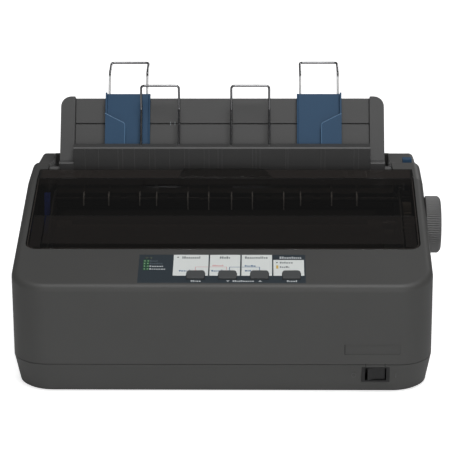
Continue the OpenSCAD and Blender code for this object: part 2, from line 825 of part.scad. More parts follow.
module feed_motor() {
    x1 = frame_right_x;
    color([0.55, 0.56, 0.58]) union() {
        bar(pinion_at, 15.5, x1 - 25, x1 - 1.2);
        side_extrude(x1 - 1.3, x1) translate(pinion_at - [16, 16]) square(32);
    }
}

module head_carriage() {
    x0 = head_x - carriage_half;
    color([0.12, 0.12, 0.13]) difference() {
        union() {
            block([x0, rod_y - 12, 44], [x0 + 2 * carriage_half, rod_y + 12, carriage_top]);
            block([x0 + 8, rail_y - 2, rail_z + 0.3], [x0 + 2 * carriage_half - 8, rod_y - 11, carriage_top]);
            // Clamp that holds the belt's rear run
            block([head_x - 6, belt_back + 0.2, pulley_z + 1], [head_x + 6, belt_back + 2, 45]);
        }
        bar([rod_y, rod_h], rod_r + run_gap, x0 - 1, x0 + 2 * carriage_half + 1);
    }
}

module print_head() {
    x = head_x;
    body_top = cartridge_z - 1.2 - 0.8;
    color([0.20, 0.20, 0.21]) union() {
        difference() {
            block([x - 16, rod_y - 22, carriage_top], [x + 16, rod_y + 10, body_top]);
            for (side = [x - 17, x + 5], i = [0:5])
                block([side, rod_y - 20 + 5 * i, carriage_top + 6],
                      [side + 12, rod_y - 17.6 + 5 * i, body_top + 1]);
        }
        block([x - 8, rod_y + 9, carriage_top + 4], [x + 8, nose_tip - 3, body_top]);
        side_extrude(x - 7, x + 7) polygon([
            [rod_y + 13, 68], [rod_y + 13, platen_h + 8], [nose_tip - 3, platen_h + 8],
            [nose_tip, platen_h + 5], [nose_tip, platen_h - 6], [nose_tip - 4, 68]
        ]);
    }
}

// A flat box across the printer with an arm at each end
module ribbon_cartridge() {
    z = cartridge_z;
    color([0.09, 0.09, 0.09]) union() {
        translate([paper_x0, 0, z]) linear_extrude(cart_h)
            front_rounded(2 * cart_half, cart_front, cart_back, 10);
        for (s = [-1, 1]) block(
            [paper_x0 + s * (cart_half - 6) - 6, cart_back - 1, z],
            [paper_x0 + s * (cart_half - 6) + 6, nose_tip, z + cart_h]);
        translate([0, 0, z + cart_h - 0.1]) for (i = [0:8]) block(
            [paper_x0 - 112 + 26 * i, cart_front + 8, 0], [paper_x0 - 110.5 + 26 * i, cart_back - 6, 0.8]);
        translate([ribbon_knob_at[0], fy(ribbon_knob_at[1]), z + cart_h - 0.1]) cylinder(r = 2, h = 2.6);
    }
}

module ink_ribbon() {
    color([0.04, 0.04, 0.05]) block(
        [paper_x0 - cart_half + 2, nose_tip + 0.3, platen_h - 6],
        [paper_x0 + cart_half - 2, nose_tip + 0.7, platen_h + 7]);
}

module ribbon_knob() {
    z = cartridge_z + cart_h + 0.3;
    color([0.10, 0.10, 0.10]) translate([ribbon_knob_at[0], fy(ribbon_knob_at[1]), z]) difference() {
        cylinder(r = 7.5, h = 3.4);
        for (i = [0:15]) rotate(i * 22.5) translate([8.1, 0, -1]) cylinder(r = 1, h = 6, $fn = 24);
        translate([0, 0, -1]) cylinder(r = 2 + run_gap, h = 3.4);
    }
}

// ---- Platen, gears and rollers ----

module platen_roller() {
    color([0.06, 0.06, 0.06]) difference() {
        bar(platen_at, platen_d / 2, platen_x0, platen_x1);
        bar(platen_at, platen_shaft_r, platen_x0 - 1, platen_x1 + 1);
    }
}

module platen_shaft() {
    color([0.78, 0.79, 0.80]) bar(platen_at, platen_shaft_r, frame_left_x - 1, knob_x0 + 4);
}

module platen_gear() {
    color([0.86, 0.85, 0.80]) gear(platen_at, platen_teeth, gear_w, platen_shaft_r, platen_phase);
}

module feed_knob() {
    r = knob_d / 2;
    color([0.30, 0.30, 0.31]) difference() {
        union() {
            bar(platen_at, r, knob_x0, knob_x0 + knob_t - 2);
            translate([knob_x0 + knob_t - 2, fy(platen_y), platen_h]) rotate([0, 90, 0])
                cylinder(r1 = r, r2 = r - 2, h = 2);
            bar(platen_at, knob_hub_r, gear_x + gear_w + 0.2, knob_x0 + 1);
        }
        bar(platen_at, platen_shaft_r, 0, knob_x0 + 4);
        bar(platen_at, r - 5, knob_x0 + knob_t - 1, knob_x0 + knob_t + 1);
        for (a = [0:7.5:352.5])
            bar(platen_at + (r + 0.5) * [cos(a), sin(a)], 1, knob_x0 - 1, knob_x0 + knob_t + 1);
    }
}

module lower_idler_gear() {
    color([0.86, 0.85, 0.80]) gear(lower_idler_at, idler_teeth, gear_w, gear_bore_r, lower_idler_phase);
}

module rear_idler_gear() {
    color([0.86, 0.85, 0.80]) gear(rear_idler_at, idler_teeth, gear_w, gear_bore_r, rear_idler_phase);
}

module motor_pinion() {
    color([0.80, 0.70, 0.40]) union() {
        gear(pinion_at, pinion_teeth, gear_w, 1, pinion_phase);
        bar(pinion_at, 1.5, frame_right_x + 0.2, gear_x + gear_w);
    }
}

module tractor_drive_shaft() {
    x0 = frame_left_x + sheet_t + 1;
    x1 = frame_right_x - 1;
    color([0.74, 0.75, 0.76]) union() {
        translate([x0, fy(tractor_at[0]) - 3, tractor_at[1] - 3]) cube([x1 - x0, 6, 6]);
        bar(tractor_at, tractor_shaft_r, rod_x0, gear_x + gear_w);
        gear(tractor_at, tractor_teeth, gear_w, 1, tractor_phase);
    }
}

module tractor_support_shaft() {
    color([0.78, 0.79, 0.80]) bar(support_shaft_at, support_shaft_r, rod_x0, rod_x1);
}

module eject_shaft() {
    color([0.72, 0.73, 0.74]) union() {
        bar(eject_at, eject_shaft_r, rod_x0, gear_x + gear_w);
        gear(eject_at, eject_teeth, gear_w, 1, eject_phase);
    }
}

module eject_rollers() {
    color([0.20, 0.20, 0.20]) for (x = [-82, -41, 41, 82], s = [-7, 7]) difference() {
        bar(eject_at, eject_d / 2, paper_x0 + x + s - 4, paper_x0 + x + s + 4);
        bar(eject_at, eject_shaft_r, paper_x0 + x + s - 5, paper_x0 + x + s + 5);
    }
}

// ---- Tractors ----

// Side view of a tractor's body, round at both shafts
module tractor_outline(r) {
    translate(tractor_at) circle(r);
    translate(support_shaft_at + [0, 3]) circle(r);
    translate(tractor_at - [0, r]) square([support_shaft_at[0] - tractor_at[0], 2 * r]);
}

// Place of a flap's hinge, across the printer
function flap_hinge_x(x, hand) = x + hand * (tractor_w - 9.8);

// A round pin along a flap's hinge, shorter than the hinge by a margin at each end
module flap_pin(hx, r, margin) {
    translate([hx, fy(flap_y0) + margin, flap_z + 0.8]) rotate([-90, 0, 0])
        cylinder(r = r, h = flap_y1 - flap_y0 - 2 * margin);
}

// A tractor with its pins on top; x is the pins' line and hand points to the outer side
module tractor(x, hand) {
    x0 = hand < 0 ? x - tractor_w + tractor_inner : x - tractor_inner;
    hx = flap_hinge_x(x, hand);
    difference() {
        union() {
            side_extrude(x0, x0 + tractor_w) tractor_outline(tractor_r - 1.2);
            side_extrude(x - 4, x + 4) tractor_outline(tractor_r);
            for (i = [0:1])
                translate([x, fy(tractor_at[0] + 5 + pin_pitch * i), tractor_at[1] + tractor_r - 0.2])
                    cylinder(r1 = 1.6, r2 = 0.9, h = 2.4, $fn = 24);
            // Ears for the hinge of the paper flap
            for (y = [flap_y0, flap_y1 - 4])
                block([hx - 2.5, y, tractor_at[1]], [hx + 2.5, y + 4, flap_z + 3.2]);
        }
        bar(tractor_at, 4.6, x0 - 1, x0 + tractor_w + 1);
        bar(support_shaft_at, support_shaft_r + run_gap, x0 - 1, x0 + tractor_w + 1);
        flap_pin(hx, 1.2 + run_gap, -1);
    }
}

module tractor_flap(x, hand) {
    hx = flap_hinge_x(x, hand);
    inner = x - hand * tractor_inner;
    difference() {
        union() {
            block([min(hx, inner), flap_y0 + 4.4, flap_z], [max(hx, inner), flap_y1 - 4.4, flap_z + flap_t]);
            flap_pin(hx, 2.2, 4.4);
            flap_pin(hx, 1.2, 0.4);
        }
        block([x - 2.6, flap_y0 + 7, flap_z - 2], [x + 2.6, flap_y1 - 8, flap_z + 4]);
    }
}

module tractor_left() { color([0.16, 0.16, 0.17]) tractor(paper_x0 - pin_half, -1); }
module tractor_right() { color([0.16, 0.16, 0.17]) tractor(paper_x0 + pin_half, 1); }
module tractor_cover_left() { color([0.22, 0.22, 0.23]) tractor_flap(paper_x0 - pin_half, -1); }
module tractor_cover_right() { color([0.22, 0.22, 0.23]) tractor_flap(paper_x0 + pin_half, 1); }

// ---- Cover ----

module printer_cover() {
    y0 = cover_front;
    color([0.10, 0.09, 0.09, 0.6]) union() {
        intersection() {
            side_extrude(-cover_w / 2, cover_w / 2)
                deck_band(y0 - 2, cover_rear, cover_top, cover_top + cover_t);
            linear_extrude(rim_h + 5) front_rounded(cover_w, y0, cover_rear, cover_corner_r);
        }
        intersection() {
            side_extrude(-cover_w / 2, cover_w / 2)
                deck_band(y0 - 2, cover_rear, cover_top + cover_t - 0.3, cover_flange);
            linear_extrude(rim_h + 5) difference() {
                front_rounded(cover_w, y0, cover_rear, cover_corner_r);
                front_rounded(cover_w - 3.6, y0 + 1.8, cover_rear + 5, cover_corner_r - 1.8);
            }
        }
        for (x = [-1, 1] * (cover_w / 2 + 0.5)) bar(cover_axis, cover_pin_r, x - 1.5, x + 1.5);
        // Raised finger tab at the rear edge
        translate([0, fy(cover_rear), rim_h - cover_top - 0.1]) linear_extrude(1.1)
            polygon([[-38.6, -20], [39.2, -20], [33.1, 0], [-35.9, 0]]);
    }
}

// ---- Sheet guide ----

// Front view of a side wall of the guide, with its outer top corner rounded
module guide_side_outline(x0, x1, hand, shrink) {
    r = 9 - shrink;
    top = guide_len + 0.8 - shrink;
    ox = hand < 0 ? x0 + r : x1 - r;
    translate([x0, -2]) square([x1 - x0, top + 2 - r]);
    translate([hand < 0 ? ox : x0, -2]) square([x1 - x0 - r, top + 2]);
    intersection() {
        translate([ox, top - r]) circle(r);
        translate([x0, 0]) square([x1 - x0, top]);
    }
}

module guide_side(x0, x1, hand) {
    t = guide_wall;
    on_guide() difference() {
        translate([0, side_back, 0]) rotate([90, 0, 0]) linear_extrude(side_back + side_proud)
            guide_side_outline(x0, x1, hand, 0);
        translate([0, side_back + 1, 0]) rotate([90, 0, 0]) linear_extrude(side_back + side_proud + 1 - t)
            guide_side_outline(x0 + t, x1 - t, hand, t);
    }
    // Foot that carries the pivot pin, with the ledge in front of the side wall
    difference() {
        side_extrude(x0, x1) polygon([
            [band_front, base_low + 4], [band_front + 4, base_low], [rim_len + 1, base_low],
            [rim_len + 4, base_low + 6], [rim_len + 4, ledge_top], [band_front + 0.8, ledge_top],
            [band_front, ledge_top - 0.8]
        ]);
        on_guide() translate([x0 - 1, -side_proud, -2]) cube([x1 - x0 + 2, 30, 30]);
    }
}

module sheet_guide() {
    w = panel_right - panel_left;
    color([0.33, 0.33, 0.33]) union() {
        on_guide() difference() {
            union() {
                translate([panel_left - 0.1, 0, -2]) cube([w + 0.2, panel_t, guide_len + 2]);
                for (v = [2, 22, 40, guide_len - 2]) translate([panel_left - 0.1, panel_t - 0.1, v])
                    cube([w + 0.2, side_back - panel_t, 2]);
                for (i = [1:6]) translate([panel_left + i * w / 7, panel_t - 0.1, 2])
                    cube([2, side_back - panel_t, guide_len - 2]);
            }
            translate([panel_left, -1, groove_v - groove_w / 2]) cube([w, 2.4, groove_w]);
        }
        guide_side(guide_left, panel_left, -1);
        guide_side(panel_right, guide_right, 1);
        bar(guide_axis, guide_pin_r, notch_left - 1.8, guide_left + 1);
        bar(guide_axis, guide_pin_r, guide_right - 1, notch_right + 1.8);
    }
}

// Place in a side view, from the distances up the guide's panel and in front of it
function guide_point(v, w) = guide_foot
    + v * [sin(guide_lean), cos(guide_lean)] + w * [-cos(guide_lean), sin(guide_lean)];

// Front wall of the sheet slot: upright in front, leaning with the guide behind
module guide_front_wall() {
    back_low = guide_point(-1, band_back);
    rise = band_top - guide_foot[1] - band_back * sin(guide_lean);
    back_high = guide_point(rise / cos(guide_lean), band_back);
    color([0.24, 0.24, 0.24]) difference() {
        side_extrude(panel_left + seat_gap, panel_right - seat_gap) polygon([
            [band_front, base_low + 6], [band_front, band_top - 1.2], [band_front + 1.2, band_top], back_high,
            back_low, [band_front + 2.2, base_low + 6]
        ]);
        for (x = front_wire_xs, s = [-1, 1]) on_guide()
            translate([x + s * (wire_w / 2 - wire_r), -front_wire_w, 0.8])
                cylinder(r = wire_hole_r, h = 30, $fn = 24);
    }
}

// Edge guide: a plate on the panel, a side flange and a lip in front of the sheet's edge
module edge_guide(x, hand) {
    far = x - hand * edge_w;
    lip = x - hand * lip_w;
    skin = x - hand * edge_skin;
    on_guide() difference() {
        union() {
            translate([min(x, far), -edge_seat - edge_t, 3]) cube([edge_w, edge_t, edge_top - 3]);
            translate([min(x, skin), -edge_depth, 3]) cube([edge_skin, edge_depth - edge_seat, edge_top - 3]);
            translate([0, -edge_depth + edge_skin, 0]) rotate([90, 0, 0]) linear_extrude(edge_skin)
                polygon([[x, 3], [x, 41], [lip, 32], [lip, 3]]);
            translate([min(x, far), -edge_seat - 0.1, groove_v - 0.4]) cube([edge_w, 1.4, 0.8]);
        }
        for (s = [-1, 1])
            translate([(x + far) / 2 + s * (wire_w / 2 - wire_r), -edge_seat - edge_t / 2, edge_top - 25])
                cylinder(r = wire_hole_r, h = 30, $fn = 24);
    }
}

module edge_guide_left() { color([0.20, 0.32, 0.43]) edge_guide(edge_left_x, -1); }
module edge_guide_right() { color([0.20, 0.32, 0.43]) edge_guide(edge_right_x, 1); }

// Bent wire: two legs up the guide, a bend by an angle, and a crossbar; it starts at the legs' foot
module wire_frame(leg, arm, turn) {
    half = wire_w / 2 - wire_r;
    for (s = [-1, 1]) translate([s * half, 0, 0]) {
        wire_leg(leg);
        translate([0, 0, leg]) {
            sphere(r = wire_elbow_r, $fn = 24);
            rotate([turn, 0, 0]) {
                wire_leg(arm);
                translate([0, 0, arm]) sphere(r = wire_elbow_r, $fn = 24);
            }
        }
    }
    translate([0, 0, leg]) rotate([turn, 0, 0]) translate([-half, 0, arm]) rotate([0, 90, 0])
        wire_leg(2 * half);
}

module front_wire(x) {
    start = 8;
    color([0.75, 0.76, 0.78]) on_guide() translate([x, -front_wire_w, start])
        wire_frame(36, 21.4, guide_lean);
}

module rear_wire(x) {
    start = edge_top - 5;
    color([0.75, 0.76, 0.78]) on_guide() translate([x, -edge_seat - edge_t / 2, start])
        wire_frame(25, 22, guide_lean - 86);
}

module wire_support_front_left() { front_wire(front_wire_xs[0]); }
module wire_support_front_right() { front_wire(front_wire_xs[1]); }
module wire_support_rear_left() { rear_wire(edge_left_x + edge_w / 2); }
module wire_support_rear_right() { rear_wire(edge_right_x - edge_w / 2); }

// ---- Levers, switch and buttons ----

module release_lever() {
    color([0.20, 0.32, 0.43]) difference() {
        union() {
            bar(release_at, 5, lever_slot_x - 1, lever_slot_x + 1);
            side_extrude(lever_slot_x - 1, lever_slot_x + 1) polygon([
                release_at + [-4, 0], release_at + [4, 0], [lever_tip_y + 3, lever_top + 0.2],
                [lever_tip_y - 3, lever_top + 0.2]
            ]);
            side_extrude(lever_slot_x - 4, lever_slot_x + 4) polygon([
                [lever_tip_y - 3.5, lever_top], [lever_tip_y - 3, lever_top + 3.4],
                [lever_tip_y + 3, lever_top + 3.4], [lever_tip_y + 3.5, lever_top]
            ]);
        }
        bar(release_at, stub_r + run_gap, lever_slot_x - 3, lever_slot_x + 3);
    }
}

module thickness_lever() {
    x0 = frame_left_x - 7.6;
    color([0.12, 0.20, 0.45]) difference() {
        union() {
            bar(lever_stub_at, 5, x0, frame_left_x - 0.4);
            side_extrude(x0, x0 + 5) polygon([
                lever_stub_at + [-4, 1], lever_stub_at + [4, 1],
                lever_stub_at + [9.5, 31], lever_stub_at + [5, 32]
            ]);
        }
        bar(lever_stub_at, stub_r + run_gap, x0 - 1, frame_left_x);
    }
}

module switch_housing() {
    color([0.13, 0.13, 0.13]) difference() {
        union() {
            switch_block(0, bezel_front, bezel_back);
            switch_block(switch_lip, bezel_back - 0.1, 26);
        }
        block([switch_x - rocker_w / 2 - 1.5, 0, switch_z - rocker_h / 2 - 0.3],
              [switch_x + rocker_w / 2 + 1.5, 15, switch_z + rocker_h / 2 + 0.3]);
        translate([switch_x, fy(rocker_y), 0]) cylinder(r = 1.2 + run_gap, h = switch_z + rocker_h / 2 + 0.7);
    }
}

module power_rocker() {
    h = rocker_w / 2;
    color([0.05, 0.05, 0.05]) translate([switch_x, fy(rocker_y), switch_z]) rotate(rocker_tilt) union() {
        translate([0, 0, -rocker_h / 2]) linear_extrude(rocker_h)
            polygon([[-h, -4], [0, -3.2], [h, -4], [h - 1, 2], [2, 4], [-2, 4], [1 - h, 2]]);
        translate([0, 0, -rocker_h / 2 - 0.7]) cylinder(r = 1.2, h = rocker_h + 1.3);
    }
}

module button(i) {
    color([0.24, 0.24, 0.25]) on_deck() translate([button_xs[i], button_s, 0]) union() {
        translate([0, 0, -case_wall - 1.6]) linear_extrude(case_wall + 1.6 + button_rise) button_outline(0);
        translate([-button_w / 2 - 1.5, -1.5, -case_wall - 2.9]) cube([button_w + 3, button_d + 3, 1.4]);
    }
}

module button_1() { button(0); }
module button_2() { button(1); }
module button_3() { button(2); }
module button_4() { button(3); }

// ---- Electrics ----

module main_board() {
    color([0.10, 0.32, 0.18]) difference() {
        union() {
            block([board_x0, board_y0, board_z], [board_x1, board_y1, port_z]);
            // Chips: [x, y, width, depth] on the board
            for (c = [
                [20, 20, 22, 22], [60, 18, 14, 20], [88, 24, 26, 12], [30, 60, 30, 12], [80, 64, 18, 18]
            ])
                block([board_x0 + c[0], board_y0 + c[1], port_z - 0.1],
                      [board_x0 + c[0] + c[2], board_y0 + c[1] + c[3], port_z + 2.6]);
        }
        for (p = board_posts()) translate([p[0], fy(p[1]), 0]) cylinder(r = screw_r, h = 60);
    }
}

module power_board() {
    top = power_z + board_t;
    color([0.55, 0.45, 0.20]) difference() {
        union() {
            block([power_x0, power_y0, power_z], [power_x1, power_y1, top]);
            block([power_x0 + 44, power_y0 + 20, top - 0.1], [power_x0 + 78, power_y0 + 50, top + 13]);
            for (i = [0:2]) translate([power_x0 + 24, fy(power_y0 + 26 + 20 * i), top - 0.1])
                cylinder(r = 7, h = 13);
        }
        for (p = board_posts()) translate([p[0], fy(p[1]), 0]) cylinder(r = screw_r, h = 60);
    }
}

module interface_ports() {
    color([0.68, 0.69, 0.71]) for (b = port_boxes) difference() {
        block([b[0], body_d - socket_d, b[2]], [b[1], body_d - 0.2, b[3]]);
        block([b[0] + 3, body_d - 8, b[2] + 3], [b[1] - 3, body_d, b[3] - 3]);
    }
}

module mains_inlet() {
    b = inlet_box;
    mid = [(b[0] + b[1]) / 2, (b[2] + b[3]) / 2];
    color([0.10, 0.10, 0.10]) difference() {
        union() {
            block([b[0], body_d - 22, b[2]], [b[1], body_d + 0.1, b[3]]);
            block([b[0] - 2, body_d, b[2] - 2], [b[1] + 2, body_d + 1.4, b[3] + 2]);
        }
        block([mid[0] - 12, body_d - 14, mid[1] - 8], [mid[0] + 12, body_d + 2, mid[1] + 8]);
    }
}

lower_case();
upper_case();
control_panel_label();
status_lights();
rubber_feet();
screws();
chassis_plate();
side_frame_left();
side_frame_right();
platen_bushes();
paper_chute();
exit_guide();
carriage_rod();
carriage_rail();
timing_belt();
carriage_motor();
feed_motor();
main_board();
power_board();
interface_ports();
mains_inlet();
switch_housing();
ribbon_cartridge();
ink_ribbon();
tractor_support_shaft();
printer_cover();
platen_roller();
platen_shaft();
platen_gear();
feed_knob();
lower_idler_gear();
rear_idler_gear();
motor_pinion();
tractor_drive_shaft();
eject_shaft();
eject_rollers();
print_head();
head_carriage();
drive_pulley();
idler_pulley();
ribbon_knob();
tractor_left();
tractor_right();
tractor_cover_left();
tractor_cover_right();
sheet_guide();
guide_front_wall();
edge_guide_left();
edge_guide_right();
wire_support_front_left();
wire_support_front_right();
wire_support_rear_left();
wire_support_rear_right();
release_lever();
thickness_lever();
power_rocker();
button_1();
button_2();
button_3();
button_4();
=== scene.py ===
"""Dressed scene of a dot matrix printer: moulded case, smoke cover, sheet guide, wires, print panel.

Every CAD node keeps its own form and gets broken edges and a material, but for the four wire
supports and the feed knob, which are rebuilt here. Printed marks and small features come on top.

Lengths are millimetres, and turn into metres as they go into a mesh. A place is written as the
CAD writes it: x across, distance behind the front face, height above the table.
"""
import json
import math

import bmesh
import bpy
import numpy as np
from mathutils import Matrix


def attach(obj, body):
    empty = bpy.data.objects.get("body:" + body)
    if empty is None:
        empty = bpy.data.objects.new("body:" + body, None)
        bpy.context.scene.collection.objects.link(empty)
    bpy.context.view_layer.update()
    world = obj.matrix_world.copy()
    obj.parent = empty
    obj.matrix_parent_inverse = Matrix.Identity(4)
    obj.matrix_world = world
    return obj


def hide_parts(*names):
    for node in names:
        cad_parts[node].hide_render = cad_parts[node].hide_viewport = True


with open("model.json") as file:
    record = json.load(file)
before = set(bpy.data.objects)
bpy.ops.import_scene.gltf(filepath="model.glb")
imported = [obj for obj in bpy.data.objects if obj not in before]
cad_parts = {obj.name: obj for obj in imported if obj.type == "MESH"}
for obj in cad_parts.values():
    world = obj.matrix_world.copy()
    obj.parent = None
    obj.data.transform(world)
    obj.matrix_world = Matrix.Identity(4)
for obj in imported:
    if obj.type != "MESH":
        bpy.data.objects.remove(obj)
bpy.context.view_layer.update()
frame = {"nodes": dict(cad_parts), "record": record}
MM = 0.001

# ---- Sizes shared with the CAD ----

# The front face's y in the CAD's frame
FRONT_Y = -137.5
# The deck rises from the front face to the flat rim behind it
FRONT_H = 92.0
RIM_H = 124.8
DECK_LEN = 168.0
DECK_SLOPE = math.atan((RIM_H - FRONT_H) / DECK_LEN)
# Foot of the sheet guide's panel, and how far the panel leans to the rear
GUIDE_FOOT = (216.0, 124.0)
GUIDE_LEAN = math.radians(33)
# Axes of the platen and of the eject shaft
PLATEN = (140.0, 93.5)
EJECT = (158.8, 109.25)
# The four buttons: centres, front edge up the slope, width and depth
BUTTON_X = (-20.75, 4.55, 30.1, 55.45)
BUTTON_S = 11.4
BUTTON_W = 14.2
BUTTON_D = 11.4
# Feed knob: both ends of its rim, and its radius
KNOB_X = (168.9, 181.7)
KNOB_R = 24.0
# Smoke cover: half its width, its front edge and the fold at its flat rear part, up the slope
COVER_HALF = 160.2
COVER_FRONT = 57.0
COVER_REAR = 171.1


def place(points):
    """Millimetres with Y behind the front face, to metres in the CAD's frame."""
    spot = np.asarray(points, float).copy()
    spot[..., 1] += FRONT_Y
    return spot * MM


def on_deck(points):
    """Deck frame (x across, s up the slope from the front edge, n out of it) to the case's frame:
    s and n turned by the slope and added to the deck's front edge."""
    x, s, n = np.moveaxis(np.asarray(points, float), -1, 0)
    back = s * math.cos(DECK_SLOPE) - n * math.sin(DECK_SLOPE)
    high = FRONT_H + s * math.sin(DECK_SLOPE) + n * math.cos(DECK_SLOPE)
    return np.stack([x, back, high], -1)


def on_guide(points):
    """Guide frame (x across, w in front of the panel, v up the panel) to the case's frame: v and w
    turned by the lean and added to the panel's foot."""
    x, w, v = np.moveaxis(np.asarray(points, float), -1, 0)
    back = GUIDE_FOOT[0] + v * math.sin(GUIDE_LEAN) - w * math.cos(GUIDE_LEAN)
    high = GUIDE_FOOT[1] + v * math.cos(GUIDE_LEAN) + w * math.sin(GUIDE_LEAN)
    return np.stack([x, back, high], -1)


def level_sheet(outline, height):
    """A flat outline (x, distance behind the front face) at a height above the table."""
    return np.column_stack([outline, np.full(len(outline), height)])


def deck_sheet(outline, height):
    """A flat outline (x, s up the slope) at a height out of the deck."""
    return on_deck(level_sheet(outline, height))


def guide_sheet(outline, height):
    """A flat outline (x, v up the panel) at a height in front of the guide's panel."""
    x, v = np.asarray(outline, float).T
    return on_guide(np.column_stack([x, np.full(len(x), height), v]))


# ---- Materials ----


def linear(hexcode):
    """sRGB hex to linear RGBA."""
    rgb = [int(hexcode[i:i + 2], 16) / 255 for i in (0, 2, 4)]
    return [c / 12.92 if c <= 0.04045 else ((c + 0.055) / 1.055) ** 2.4 for c in rgb] + [1.0]


def add_node(tree, kind, inputs=None, **settings):
    """Adds a node. inputs maps a socket to a value, or to the output socket that feeds it."""
    made = tree.nodes.new(kind)
    for name, value in settings.items():
        setattr(made, name, value)
    for socket, value in (inputs or {}).items():
        if isinstance(value, bpy.types.NodeSocket):
            tree.links.new(value, made.inputs[socket])
        else:
            made.inputs[socket].default_value = value
    return made


def new_material(name):
    """An empty node material; returns the material, its tree and its object coordinates."""
    material = bpy.data.materials.new(name)
    material.use_nodes = True
    tree = material.node_tree
    tree.nodes.clear()
    where = add_node(tree, "ShaderNodeTexCoord").outputs["Object"]
    return material, tree, where


def close_material(tree, shader):
    """Feeds a shader to the material's output."""
    add_node(tree, "ShaderNodeOutputMaterial", {"Surface": shader})


def grain_nodes(tree, where, grain, depth, rough):
    """A fine noise `grain` mm across; returns its roughness, 0.05 each way, and its bump, `depth`
    mm deep."""
    fine = add_node(tree, "ShaderNodeTexNoise", {"Vector": where, "Scale": 1 / (grain * MM), "Detail": 3.0})
    gloss = add_node(tree, "ShaderNodeMapRange", {
        "Value": fine.outputs["Fac"], "To Min": rough - 0.05, "To Max": rough + 0.05})
    bump = add_node(tree, "ShaderNodeBump", {
        "Height": fine.outputs["Fac"], "Strength": 1.0, "Distance": depth * MM})
    return gloss.outputs["Result"], bump.outputs["Normal"]


# Patches in the colour of moulded plastic, drawn broad and faint so that they show across a case
CLOUD = 38.0
# Places of the two colours among a colour mix's inputs, and of its colour among the outputs
FIRST_COLOUR, SECOND_COLOUR, MIXED_COLOUR = 6, 7, 2


def cloud_nodes(tree, where, colour, cloud):
    """The colour with a faint broad cloud, lighter and darker by the share `cloud`."""
    broad = add_node(tree, "ShaderNodeTexNoise", {"Vector": where, "Scale": 1 / (CLOUD * MM), "Detail": 2.0})
    base = linear(colour)
    low, high = ([c * (1 + side * cloud) for c in base[:3]] + [1] for side in (-1, 1))
    mixed = add_node(tree, "ShaderNodeMix", {
        0: broad.outputs["Fac"], FIRST_COLOUR: low, SECOND_COLOUR: high}, data_type="RGBA")
    return mixed.outputs[MIXED_COLOUR]


def moulded(name, colour, rough, grain=0.9, depth=0.03, cloud=0.05, shader=None):
    """Moulded plastic: a grain of about `grain` mm, coarser than the real one so that it shows,
    a faint cloud in the colour and a little spread in the gloss."""
    material, tree, where = new_material(name)
    gloss, normal = grain_nodes(tree, where, grain, depth, rough)
    body = add_node(tree, "ShaderNodeBsdfPrincipled", {
        "Base Color": cloud_nodes(tree, where, colour, cloud), "Roughness": gloss, "Normal": normal,
        **(shader or {})})
    close_material(tree, body.outputs["BSDF"])
    return material


def tinted(name, tint, rough):
    """Clear plastic with a dark tint: light passes straight through each face of the sheet and
    takes the tint, and the outer face mirrors the room by Fresnel's law, with polycarbonate's
    index. The gloss changes over 30 mm, as a moulded sheet's does."""
    material, tree, where = new_material(name)
    broad = add_node(tree, "ShaderNodeTexNoise", {"Vector": where, "Scale": 1 / (30 * MM), "Detail": 2.0})
    gloss = add_node(tree, "ShaderNodeMapRange", {
        "Value": broad.outputs["Fac"], "To Min": rough - 0.02, "To Max": rough + 0.02})
    clear = add_node(tree, "ShaderNodeBsdfTransparent", {"Color": linear(tint)})
    mirror = add_node(tree, "ShaderNodeBsdfGlossy", {"Roughness": gloss.outputs["Result"]})
    skin = add_node(tree, "ShaderNodeFresnel", {"IOR": 1.58})
    outer = add_node(tree, "ShaderNodeMixShader", {
        0: skin.outputs["Fac"], 1: clear.outputs[0], 2: mirror.outputs[0]})
    # From behind, the Fresnel node would mirror everything at a shallow angle
    side = add_node(tree, "ShaderNodeNewGeometry")
    both = add_node(tree, "ShaderNodeMixShader", {
        0: side.outputs["Backfacing"], 1: outer.outputs[0], 2: clear.outputs[0]})
    close_material(tree, both.outputs[0])
    return material


def hazed(name, colour, share):
    """A fine texture on clear plastic: about the given share of the light is scattered, and the
    rest goes straight through. Its grain of 1.2 mm is coarser than the real one, so that it shows."""
    material, tree, where = new_material(name)
    fine = add_node(tree, "ShaderNodeTexNoise", {"Vector": where, "Scale": 1 / (1.2 * MM), "Detail": 2.0})
    amount = add_node(tree, "ShaderNodeMapRange", {
        "Value": fine.outputs["Fac"], "To Min": share - 0.06, "To Max": share + 0.06})
    clear = add_node(tree, "ShaderNodeBsdfTransparent")
    veil = add_node(tree, "ShaderNodeBsdfDiffuse", {"Color": linear(colour)})
    mixed = add_node(tree, "ShaderNodeMixShader", {
        0: amount.outputs["Result"], 1: clear.outputs[0], 2: veil.outputs[0]})
    close_material(tree, mixed.outputs[0])
    return material


